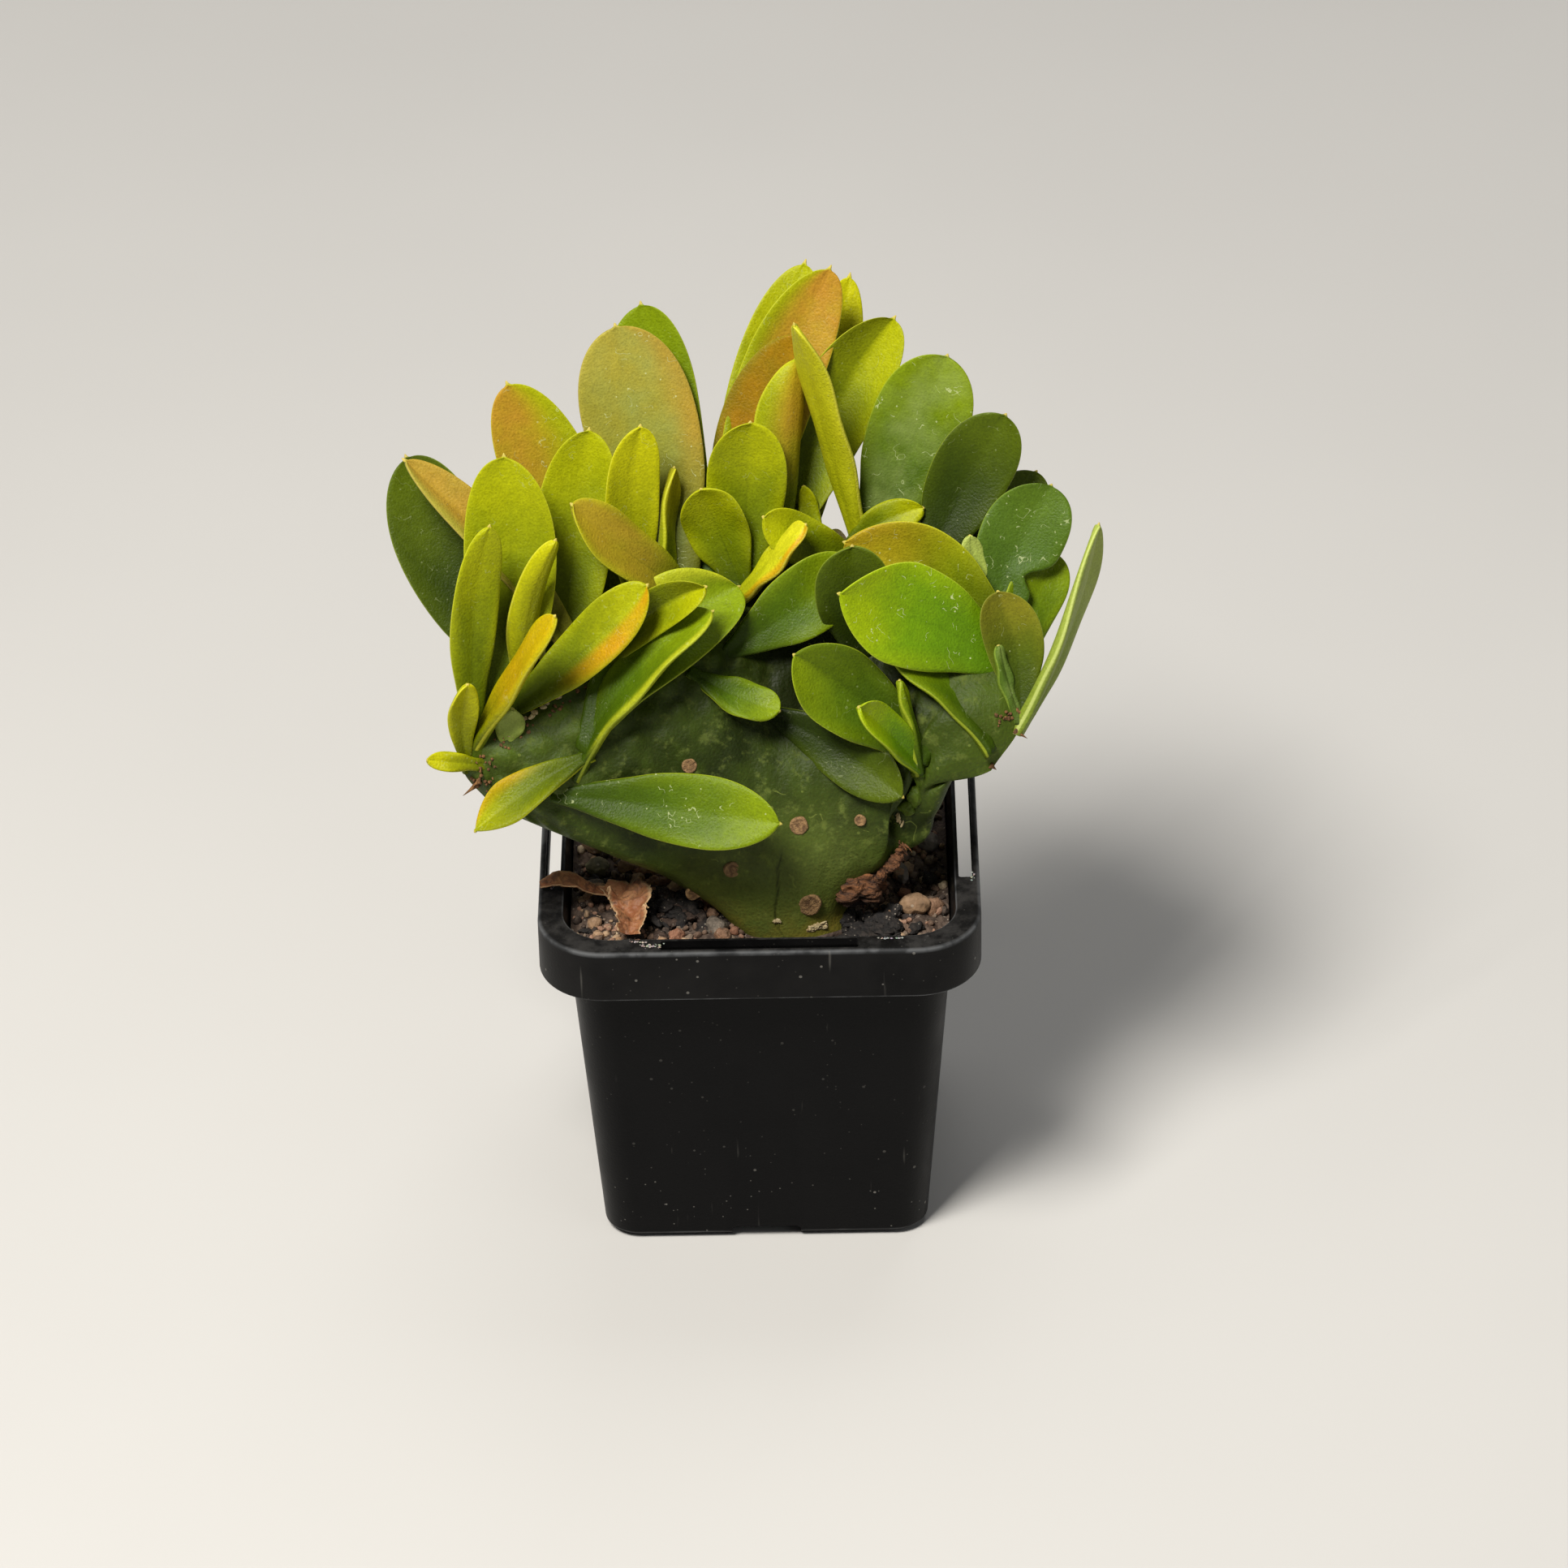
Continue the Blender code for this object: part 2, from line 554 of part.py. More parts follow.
def back_leaves():
    """The leaves behind the crest line: a row that leans away from it and a lower row that spreads."""
    draw = random.Random(SEED)
    for u, up, away, out in BACK_ROW:
        root = fan_point(u, BACK_ROW_ROOT, -1)
        tip = root / MM + CREST_LEAN * up - FACING * away + Vector((out, 0, 0))
        shape = draw.uniform(11, 13.5), draw.uniform(-20, 20), draw.uniform(-2, -1)
        yield u, 2 - BACK_ROW_ROOT, tip, *shape, BACK_FOLD, 0.0
    first, last = LOW_BACK_ENDS
    for i in range(LOW_BACK_LEAVES):
        u = first + (last - first) * (i + 0.5) / LOW_BACK_LEAVES
        root = fan_point(u, LOW_BACK_ROOT, -1)
        sideways = Vector((LOW_BACK_SPREAD * (u - 0.5) + draw.uniform(-3, 3), 0, 0))
        tip = root / MM + CREST_LEAN * draw.uniform(2, 7) - FACING * draw.uniform(20, 26) + sideways
        shape = draw.uniform(9, 12), draw.uniform(-25, 25), draw.uniform(0.5, 1.5)
        yield u, 2 - LOW_BACK_ROOT, tip, *shape, BACK_FOLD, 0.0


def scar_mesh(u, v, radius):
    """A low round disc on the stem's front, where a leaf has dropped."""
    bm = bmesh.new()
    size = {"radius1": radius * MM, "radius2": radius * MM - SCAR_HEIGHT / 2, "depth": SCAR_DEPTH}
    bmesh.ops.create_cone(bm, cap_ends=True, segments=SCAR_SIDES, **size)
    outward = fan_normal(u, v)
    turn = outward.to_track_quat("Z", "Y")
    place = fan_point(u, v, 1) + outward * (SCAR_HEIGHT - SCAR_DEPTH / 2)
    for vertex in bm.verts:
        vertex.co = place + turn @ vertex.co
    return bm


def lump_mesh(centre, size, turn, rough, detail, seed):
    """An uneven rounded lump."""
    bm = bmesh.new()
    bmesh.ops.create_icosphere(bm, subdivisions=detail, radius=1.0)
    around = Matrix.Rotation(math.radians(turn), 3, "Z")
    for vertex in bm.verts:
        x, y, z = vertex.co
        wave = math.sin(4.1 * x + seed) + math.sin(3.7 * y + 2.3 * seed) + math.sin(4.6 * z + 1.7 * seed)
        vertex.co = centre + around @ (vertex.co * size * (1 + rough * wave))
    return bm


def keep_outer_skin(mesh):
    """Keeps the largest connected skin, which fills what the union sealed off and drops loose scraps."""
    bm = bmesh.new()
    bm.from_mesh(mesh)
    bmesh.ops.triangulate(bm, faces=bm.faces)
    bmesh.ops.dissolve_degenerate(bm, dist=SLIVER, edges=bm.edges)
    bmesh.ops.triangulate(bm, faces=bm.faces)
    left = set(bm.faces)
    skins = []
    while left:
        skin = {left.pop()}
        edge = list(skin)
        while edge:
            face = edge.pop()
            sides = [side for side in face.edges if len(side.link_faces) == 2]
            near = {other for side in sides for other in side.link_faces if other in left}
            left -= near
            skin |= near
            edge.extend(near)
        skins.append(skin)
    largest = max(skins, key=len)
    loose = [face for skin in skins if skin is not largest for face in skin]
    bmesh.ops.delete(bm, geom=loose, context="FACES")
    bm.to_mesh(mesh)
    bm.free()


def join(target, pieces):
    """Fuses the pieces with the target in one Boolean union, and removes them."""
    collection = bpy.data.collections.new("to_join")
    bpy.context.scene.collection.children.link(collection)
    for piece in pieces:
        bpy.context.scene.collection.objects.unlink(piece)
        collection.objects.link(piece)
    modifier = target.modifiers.new("join", "BOOLEAN")
    modifier.operation = "UNION"
    modifier.operand_type = "COLLECTION"
    modifier.collection = collection
    modifier.solver = "MANIFOLD"
    bpy.context.view_layer.update()
    joined = bpy.data.meshes.new_from_object(target.evaluated_get(bpy.context.evaluated_depsgraph_get()))
    keep_outer_skin(joined)
    target.modifiers.clear()
    target.data = joined
    for piece in pieces:
        bpy.data.objects.remove(piece)
    bpy.data.collections.remove(collection)


def make_plant(finish):
    """The crested stem with its leaves, grown together in one body."""
    plant = add_object("crested_plant", fan_mesh(), finish, 60)
    rows = [row[1:] for row in LEAVES] + list(back_leaves())
    pieces = [add_object(f"leaf_{i}", leaf_mesh(*row), finish, 60) for i, row in enumerate(rows)]
    pieces += [add_object(f"scar_{i}", scar_mesh(*row), finish) for i, row in enumerate(SCARS)]
    callus = lump_mesh(CALLUS_CENTRE, CALLUS_SIZE, 0, CALLUS_ROUGHNESS, 1, 0)
    pieces.append(add_object("callus", callus, finish))
    join(plant, pieces)
    return plant


def soil_height(x, y):
    """The level of the mix at a place, gently uneven."""
    x, y = x / MM, y / MM
    wave = 0.7 * math.sin(0.42 * x + 1.0) * math.sin(0.37 * y) + 0.4 * math.sin(0.21 * x - 0.33 * y + 2.0)
    return SOIL_LEVEL + SOIL_RELIEF * wave


def inside_pot(x, y, half, radius):
    """Whether a place is inside a square with round corners."""
    over_x = max(abs(x) - (half - radius), 0.0)
    over_y = max(abs(y) - (half - radius), 0.0)
    return math.hypot(over_x, over_y) <= radius


def pot_inner(level):
    """Half the width and the corner radius of the pot's inside at a level, less a gap."""
    shoulder = POT_HEIGHT - SHOULDER_DROP
    if level <= shoulder:
        return body_half(level) - POT_WALL - GAP, BODY_CORNER - POT_WALL - GAP
    foot = RIM_OPENING / 2 - EDGE_STEP - POT_WALL
    share = (level - shoulder) / (POT_HEIGHT - shoulder)
    return foot + (RIM_OPENING / 2 - foot) * share - GAP, RIM_CORNER - POT_WALL - GAP


def soil_ring(half, radius, level=None, share=0.0):
    """A ring of the mix: share 0 follows the pot, and share 1 the edge of the hole for the stem."""
    ring = []
    for i in range(SOIL_SPOKES):
        angle = 2 * math.pi * i / SOIL_SPOKES
        way = Vector((math.cos(angle), math.sin(angle)))
        near, far = 0.0, POT_WIDTH
        for _ in range(EDGE_SEARCH_STEPS):
            middle = (near + far) / 2
            place = FOOT_CENTRE + way * middle
            near, far = (middle, far) if inside_pot(place.x, place.y, half, radius) else (near, middle)
        hole = way * (Vector((FOOT_HALF_WIDTH, FOOT_HALF_DEPTH)) + Vector((STEM_CLEARANCE, STEM_CLEARANCE)))
        place = (FOOT_CENTRE + way * near).lerp(FOOT_CENTRE + hole, share)
        ring.append((place.x, place.y, soil_height(place.x, place.y) if level is None else level))
    return ring


def make_soil(finish):
    """The potting mix: it fills the pot, with an uneven top and a plain hole for the stem's foot."""
    shoulder = POT_HEIGHT - SHOULDER_DROP
    levels = (FLOOR_LEVEL + GAP, shoulder, shoulder + 2 * POT_WALL)
    rings = [soil_ring(*pot_inner(level), level) for level in levels]
    top = pot_inner(SOIL_LEVEL - SOIL_RELIEF)
    rings += [soil_ring(*top, share=(i / SOIL_RINGS) ** SOIL_RING_CROWDING) for i in range(SOIL_RINGS + 1)]
    rings.append(soil_ring(*top, level=FOOT_BOTTOM - GAP, share=1.0))
    bm = bmesh.new()
    loft(bm, rings)
    bmesh.ops.triangulate(bm, faces=bm.faces)
    return add_object("potting_mix", bm, finish, 40)


def make_stone(name, centre, size, turn, finish, seed):
    """A stone that lies on the mix, with its underside shaped to it."""
    x, y = (value * MM for value in centre)
    middle = Vector((x, y, soil_height(x, y) + size[2] * (1 - STONE_SUNK_SHARE) * MM))
    bm = lump_mesh(middle, Vector(size) * MM, turn, STONE_ROUGHNESS, 2, seed)
    for vertex in bm.verts:
        vertex.co.z = max(vertex.co.z, soil_height(vertex.co.x, vertex.co.y) + GAP)
    return add_object(name, bm, finish, 30)


def make_dry_leaf(finish):
    """The dead brown leaf, a curled strip from the left rim down to the mix in front."""
    bm = bmesh.new()
    places = [Vector(place) * MM for place, _ in DRY_LEAF]
    half_thick = DRY_LEAF_THICKNESS / 2
    rings = []
    for i, (place, (_, half)) in enumerate(zip(places, DRY_LEAF)):
        along = (places[min(i + 1, len(places) - 1)] - places[max(i - 1, 0)]).normalized()
        across = along.cross(Vector((0, 0, 1))).normalized()
        up = across.cross(along)
        ring = []
        for s, sign in ((-1, 1), (0, 1), (1, 1), (1, -1), (0, -1), (-1, -1)):
            raised = sign * half_thick - DRY_LEAF_CURL * half * s * s * MM
            ring.append(place + across * s * half * MM + up * raised)
        rings.append(ring)
    loft(bm, rings)
    bmesh.ops.triangulate(bm, faces=bm.faces)
    return add_object("dry_leaf", bm, finish, 50)


def stand_over_origin():
    """Moves everything sideways, so that the middle of the whole object's box is over the origin."""
    bpy.context.view_layer.update()
    graph = bpy.context.evaluated_depsgraph_get()
    shown = [obj for obj in bpy.context.scene.objects if not obj.hide_render]
    corners = [corner for obj in shown for corner in obj.evaluated_get(graph).bound_box]
    low = Vector([min(corner[axis] for corner in corners) for axis in range(2)])
    high = Vector([max(corner[axis] for corner in corners) for axis in range(2)])
    middle = (low + high) / 2
    for obj in bpy.context.scene.objects:
        obj.location = (-middle.x, -middle.y, 0)


def main():
    """Builds the pot, the potting mix, the plant and the pieces that lie on the mix."""
    clear_scene()
    make_pot(material("pot_plastic", (0.02, 0.02, 0.022), 0.5))
    make_soil(material("mix_brown", (0.06, 0.045, 0.035), 0.9))
    make_plant(material("plant_green", (0.17, 0.27, 0.03), 0.5))
    stones = {tone: material(f"stone_{tone}", colour, 0.85) for tone, colour in STONE_TONES.items()}
    for seed, (name, centre, size, turn, tone) in enumerate(STONES):
        make_stone(name, centre, size, turn, stones[tone], seed)
    make_dry_leaf(material("dry_leaf_brown", (0.36, 0.22, 0.11), 0.8))
    stand_over_origin()


if __name__ == "__main__":
    main()
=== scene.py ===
"""The looks of a crested monadenium in a small square nursery pot.

Places are worked out about the middle of the pot's foot, in metres, and moved at the end to where
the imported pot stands. Tables of places and sizes are in millimetres and go through MM. Colours
are written as a screen shows them, 0 to 255, and go through shade().
"""

import logging
import random
from abc import ABC, abstractmethod
from dataclasses import dataclass
from enum import Enum
from functools import lru_cache
from math import copysign, cos, exp, floor, hypot, pi, radians, sin, sqrt, tau
from typing import Callable, Iterable, Iterator, Sequence

import bmesh
import bpy
from bpy.types import ID, Material, Mesh, Node, NodeSocket, NodeTree, Object
from mathutils import Matrix, Quaternion, Vector, noise


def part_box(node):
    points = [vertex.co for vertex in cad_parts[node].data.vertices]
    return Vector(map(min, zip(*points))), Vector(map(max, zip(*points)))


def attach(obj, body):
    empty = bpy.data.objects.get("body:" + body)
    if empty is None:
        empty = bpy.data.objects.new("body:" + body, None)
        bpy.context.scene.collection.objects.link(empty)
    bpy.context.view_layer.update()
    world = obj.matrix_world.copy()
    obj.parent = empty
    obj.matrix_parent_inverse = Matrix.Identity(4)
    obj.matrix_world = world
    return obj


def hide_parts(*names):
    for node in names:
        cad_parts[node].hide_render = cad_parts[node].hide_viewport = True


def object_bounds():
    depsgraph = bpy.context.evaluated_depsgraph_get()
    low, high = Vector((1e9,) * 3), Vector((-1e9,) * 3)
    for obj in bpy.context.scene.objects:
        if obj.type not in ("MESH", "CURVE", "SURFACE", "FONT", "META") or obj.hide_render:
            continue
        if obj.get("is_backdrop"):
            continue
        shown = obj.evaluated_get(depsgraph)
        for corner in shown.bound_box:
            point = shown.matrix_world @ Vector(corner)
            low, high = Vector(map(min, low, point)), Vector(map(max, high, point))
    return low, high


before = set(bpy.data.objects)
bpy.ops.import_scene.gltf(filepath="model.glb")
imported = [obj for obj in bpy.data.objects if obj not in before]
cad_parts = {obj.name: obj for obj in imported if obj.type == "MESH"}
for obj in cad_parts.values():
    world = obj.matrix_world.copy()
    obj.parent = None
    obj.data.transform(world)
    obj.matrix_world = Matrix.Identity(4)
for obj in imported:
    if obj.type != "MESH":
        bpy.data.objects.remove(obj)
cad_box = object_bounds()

MM = 0.001
LOG = logging.getLogger("potted_monadenium")

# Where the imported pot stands: the middle of its foot
pot_low, pot_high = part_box("pot")
POT_PLACE = Vector(((pot_low.x + pot_high.x) / 2, (pot_low.y + pot_high.y) / 2, 0.0))

# The way that the photographed side faces, and the way that the leaves stand along the crest
FACING = Vector((0.0, -0.825, 0.565))
CREST_LEAN = FACING.cross(Vector((1, 0, 0)))

Colour = tuple[float, float, float]
Point = Sequence[float]
Value = float | Colour
Table = tuple[tuple[float, float], ...]


def shade(red: float, green: float, blue: float) -> Colour:
    """Turns a colour as a screen shows it, 0 to 255, into the linear values that shaders use.

    Args:
        red, green, blue: the colour's parts, from 0 to 255.

    Returns:
        The three linear values.
    """

    def linear(value: float) -> float:
        """One part's linear value."""
        share = value / 255
        return share / 12.92 if share <= 0.04045 else ((share + 0.055) / 1.055) ** 2.4

    return linear(red), linear(green), linear(blue)


def smoothstep(low: float, high: float, value: float) -> float:
    """0 below low, 1 above high, and smooth between."""
    t = min(max((value - low) / (high - low), 0.0), 1.0)
    return t * t * (3 - 2 * t)


def hump(value: float, middle: float, width: float) -> float:
    """1 at the middle, falling smoothly to 0 on both sides of it."""
    return exp(-(((value - middle) / width) ** 2))


def catmull(points: Sequence[Point], t: float) -> Vector:
    """A smooth curve through points.

    Args:
        points: the points that it passes through.
        t: the place along it, from 0 to 1.

    Returns:
        The point at that place.
    """
    spans = len(points) - 1
    place = min(max(t, 0.0), 1.0) * spans
    i = min(int(place), spans - 1)
    f = place - i
    p1, p2 = Vector(points[i]), Vector(points[i + 1])
    p0 = Vector(points[i - 1]) if i > 0 else p1 * 2 - p2
    p3 = Vector(points[i + 2]) if i + 2 <= spans else p2 * 2 - p1
    square = 2 * p0 - 5 * p1 + 4 * p2 - p3
    cube = 3 * (p1 - p2) + p3 - p0
    return 0.5 * (2 * p1 + (p2 - p0) * f + square * f**2 + cube * f**3)


def between(points: Table, x: float) -> float:
    """Reads a table of (place, value) pairs at x, straight between its rows.

    Args:
        points: the table.
        x: the place that is read.

    Returns:
        The value there.
    """
    for (x0, y0), (x1, y1) in zip(points, points[1:]):
        if x <= x1:
            return y0 + (y1 - y0) * max(x - x0, 0.0) / (x1 - x0)
    return points[-1][1]


def rumple(point: Vector, scale: float, seed: float = 0.0) -> float:
    """A smooth random value from -1 to 1 at a place; scale is in waves a metre."""
    return noise.noise(point * scale + Vector((seed, 2.3 * seed, -1.7 * seed)))


def circle(count: int) -> list[tuple[float, float]]:
    """The cosine and sine of each direction round a circle."""
    return [(cos(tau * k / count), sin(tau * k / count)) for k in range(count)]


class Skin:
    """A mesh in the making: points that carry named values, and the faces between them."""

    def __init__(self) -> None:
        """Starts without points or faces."""
        self.points: list[Vector] = []
        self.faces: list[tuple[int, ...]] = []
        self.values: dict[str, list[Value]] = {}

    def add(self, point: Point, **values: Value) -> int:
        """Adds a point with its values.

        Args:
            point: where it is.
            values: what it carries; every point of one skin has the same names.

        Returns:
            The point's number.
        """
        self.points.append(Vector(point))
        for name, value in values.items():
            self.values.setdefault(name, []).append(value)
        return len(self.points) - 1

    def loop(self, centre: Vector, first: Vector, second: Vector, count: int, **values: Value) -> list[int]:
        """Adds a closed ring of points.

        Args:
            centre: its middle.
            first: the way from its middle to its first point.
            second: the way from its middle to the point a quarter of the way round.
            count: how many points it has.
            values: what each of its points carries.

        Returns:
            The points' numbers.
        """
        return [self.add(centre + first * x + second * y, **values) for x, y in circle(count)]

    def tube(self, rings: Sequence[Sequence[int]], close_ends: bool = True) -> None:
        """Joins rings of the same count into a tube.

        Args:
            rings: the numbers of each ring's points.
            close_ends: whether it gets a face at each end.
        """
        count = len(rings[0])
        for lower, upper in zip(rings, rings[1:]):
            for i in range(count):
                j = (i + 1) % count
                self.faces.append((lower[i], lower[j], upper[j], upper[i]))
        if close_ends:
            self.faces.append(tuple(rings[0][::-1]))
            self.faces.append(tuple(rings[-1]))

    def lump(self, ball: "Ball", centre: Vector, turn: Quaternion, **values: Value) -> None:
        """Adds an uneven lump.

        Args:
            ball: its shape.
            centre: where its middle is.
            turn: how it is turned.
            values: what each of its points carries.
        """
        first = len(self.points)
        points, faces = ball.shape()
        for point in points:
            self.add(centre + turn @ point, **values)
        self.faces.extend(tuple(first + i for i in face) for face in faces)

    def mesh(self, name: str) -> Mesh:
        """Makes the mesh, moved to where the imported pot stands.

        Args:
            name: the mesh's name.

        Returns:
            The mesh.
        """
        made = bpy.data.meshes.new(name)
        made.from_pydata([tuple(point + POT_PLACE) for point in self.points], [], self.faces)
        for key, values in self.values.items():
            if isinstance(values[0], (int, float)):
                layer = made.attributes.new(key, "FLOAT", "POINT")
                layer.data.foreach_set("value", [float(value) for value in values])
            else:
                layer = made.attributes.new(key, "FLOAT_VECTOR", "POINT")
                layer.data.foreach_set("vector", [part for value in values for part in value])
        made.validate()
        return made


@lru_cache(maxsize=None)
def unit_ball(detail: int) -> tuple[tuple[Point, ...], tuple[tuple[int, ...], ...]]:
    """The points and faces of a ball of radius 1 made of near-equal triangles.

    Args:
        detail: how finely it is divided.

    Returns:
        Its points and its faces.
    """
    bm = bmesh.new()
    bmesh.ops.create_icosphere(bm, subdivisions=detail, radius=1.0)
    points = tuple(tuple(vertex.co) for vertex in bm.verts)
    faces = tuple(tuple(vertex.index for vertex in face.verts) for face in bm.faces)
    bm.free()
    return points, faces


@dataclass(frozen=True)
class Ball:
    """An uneven lump: half sizes in metres, and how rough it is."""

    half_sizes: tuple[float, float, float]
    rough: float = 0.15
    waves: float = 1.6
    facets: float = 0.0
    detail: int = 2
    seed: float = 0.0

    def shape(self) -> tuple[list[Vector], tuple[tuple[int, ...], ...]]:
        """Works out the lump.

        Returns:
            Its points about its own middle, and its faces.
        """
        points, faces = unit_ball(self.detail)
        made = []
        for place in points:
            way = Vector(place)
            swell = 1 + self.rough * rumple(way, self.waves, self.seed)
            swell += 0.4 * self.rough * rumple(way, 2.7 * self.waves, self.seed + 5)
            flat = 1 - self.facets * abs(rumple(way, 1.1, self.seed + 9))
            made.append(Vector(part * size for part, size in zip(way, self.half_sizes)) * swell * flat)
        return made, faces


def place_object(name: str, data: ID) -> Object:
    """Puts a mesh, a light or a camera into the scene.

    Args:
        name: the object's name.
        data: the mesh, the light or the camera.

    Returns:
        The object.
    """
    obj = bpy.data.objects.new(name, data)
    bpy.context.scene.collection.objects.link(obj)
    return obj


def piece(name: str, shape: Skin | Mesh, finish: Material, slot: str, *nodes: str) -> None:
    """Makes a piece of the object, riding on its one body.

    Args:
        name: the piece's name.
        shape: its skin or its mesh.
        finish: its material.
        slot: not used.
        nodes: the CAD nodes that it stands for.
    """
    mesh = shape.mesh(name) if isinstance(shape, Skin) else shape
    mesh.materials.clear()
    mesh.materials.append(finish)
    mesh.shade_smooth()
    obj = place_object(name, mesh)
    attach(obj, "root")
    if nodes:
        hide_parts(*nodes)
    LOG.info("%s: %d faces", name, len(mesh.polygons))


class Graph:
    """Short calls for the nodes of one shader tree."""

    def __init__(self, tree: NodeTree) -> None:
        """Starts on one tree, without a place on the object yet."""
        self.tree = tree
        self.coordinates: NodeSocket | None = None

    def node(self, kind: str, inputs: dict[str | int, object], **settings: object) -> Node:
        """Adds a node.

        Args:
            kind: its type.
            inputs: what each of its inputs gets, by its name or number.
            settings: its properties.

        Returns:
            The node.
        """
        made = self.tree.nodes.new(f"ShaderNode{kind}")
        for name, value in settings.items():
            setattr(made, name, value)
        self.dress(made, inputs)
        return made

    def dress(self, node: Node, inputs: dict[str | int, object]) -> None:
        """Feeds a node's inputs, by their names or numbers."""
        for key, value in inputs.items():
            self.feed(node.inputs[key], value)

    def feed(self, socket: NodeSocket, value: object) -> None:
        """Links a socket to another, or sets it to a plain value.

        Args:
            socket: the socket that is fed.
            value: another socket, or the value.
        """
        if isinstance(value, NodeSocket):
            self.tree.links.new(value, socket)
        elif socket.type == "RGBA":
            socket.default_value = (*value, 1.0)
        else:
            socket.default_value = value

    def place(self) -> NodeSocket:
        """Where a point is on the object, in metres."""
        if self.coordinates is None:
            self.coordinates = self.node("TexCoord", {}).outputs["Object"]
        return self.coordinates

    def attribute(self, name: str) -> NodeSocket:
        """A number that the mesh's points carry."""
        return self.node("Attribute", {}, attribute_name=name).outputs["Fac"]

    def tint(self, name: str) -> NodeSocket:
        """A colour that the mesh's points carry."""
        return self.node("Attribute", {}, attribute_name=name).outputs["Color"]

    def math(self, operation: str, *values: object) -> NodeSocket:
        """A Math node."""
        return self.node("Math", dict(enumerate(values)), operation=operation).outputs[0]

    def scaled(self, value: object, factor: object, offset: object) -> NodeSocket:
        """A value times a factor, plus an offset."""
        return self.math("MULTIPLY_ADD", value, factor, offset)

    def multiply(self, *values: object) -> NodeSocket:
        """Multiplies two values or more.

        Args:
            values: numbers or sockets.

        Returns:
            Their product's socket.
        """
        result = values[0]
        for value in values[1:]:
            result = self.math("MULTIPLY", result, value)
        return result

    def ramp(
        self, value: object, low: float, high: float, start: float = 0.0, end: float = 1.0
    ) -> NodeSocket:
        """Goes smoothly from start to end as the value goes from low to high."""
        inputs = dict(enumerate((value, low, high, start, end)))
        return self.node("MapRange", inputs, interpolation_type="SMOOTHSTEP").outputs[0]

    def mix(self, factor: object, first: object, second: object) -> NodeSocket:
        """Mixes two colours."""
        return self.node("Mix", {0: factor, 6: first, 7: second}, data_type="RGBA").outputs[2]

    def cover(self, colour: object, layer: object, *masks: object) -> NodeSocket:
        """Lays a second colour over the first where its masks, multiplied, are above 0."""
        return self.mix(self.multiply(*masks), colour, layer)

    def brighten(self, colour: object, factor: NodeSocket) -> NodeSocket:
        """Multiplies a colour by a number."""
        return self.node("VectorMath", {0: colour, "Scale": factor}, operation="SCALE").outputs[0]

    def noise(
        self, scale: object, detail: float = 2.0, rough: float = 0.5, place: NodeSocket | None = None
    ) -> NodeSocket:
        """A noise texture's value.

        Args:
            scale: how many waves it has to a metre.
            detail: how many finer layers it has.
            rough: how strong the finer layers are.
            place: where it is read, if not at the place on the object.

        Returns:
            The value's socket.
        """
        inputs = {"Vector": place or self.place(), "Scale": scale, "Detail": detail, "Roughness": rough}
        return self.node("TexNoise", inputs).outputs["Fac"]

    def cells(self, scale: object, output: str = "Distance") -> NodeSocket:
        """A Voronoi texture's distance or colour; scale is in cells a metre."""
        return self.node("TexVoronoi", {"Vector": self.place(), "Scale": scale}).outputs[output]

    def stretched(self, factors: Point) -> NodeSocket:
        """The place on the object, scaled differently along x, y and z."""
        return self.node("Mapping", {"Vector": self.place(), "Scale": tuple(factors)}).outputs[0]

    def part(self, socket: NodeSocket, axis: str) -> NodeSocket:
        """One of the numbers of a vector."""
        return self.node("SeparateXYZ", {0: socket}).outputs[axis]

    def use(self, group: NodeTree, **values: object) -> NodeSocket:
        """Places a shared effect with its own values, and gives its output."""
        inputs = {name.capitalize(): value for name, value in values.items()}
        return self.node("Group", inputs, node_tree=group).outputs[0]

    def bump(self, height: NodeSocket, strength: float, distance: float) -> NodeSocket:
        """A Bump node's normal; distance is in metres."""
        inputs = {"Height": height, "Strength": strength, "Distance": distance}
        return self.node("Bump", inputs).outputs["Normal"]


def new_group(
    name: str, inputs: dict[str, float], output: str
) -> tuple[Graph, dict[str, NodeSocket], NodeSocket]:
    """Starts a shared shader effect.

    Args:
        name: the group's name.
        inputs: its inputs, with the values that they start from.
        output: the name of its one output.

    Returns:
        Short calls for its nodes, its inputs inside the group, and the socket that its result goes to.
    """
    tree = bpy.data.node_groups.new(name, "ShaderNodeTree")
    for key, value in inputs.items():
        socket = tree.interface.new_socket(name=key, in_out="INPUT", socket_type="NodeSocketFloat")
        socket.default_value = value
    tree.interface.new_socket(name=output, in_out="OUTPUT", socket_type="NodeSocketFloat")
    given = tree.nodes.new("NodeGroupInput")
    result = tree.nodes.new("NodeGroupOutput")
    return Graph(tree), {key: given.outputs[key] for key in inputs}, result.inputs[output]


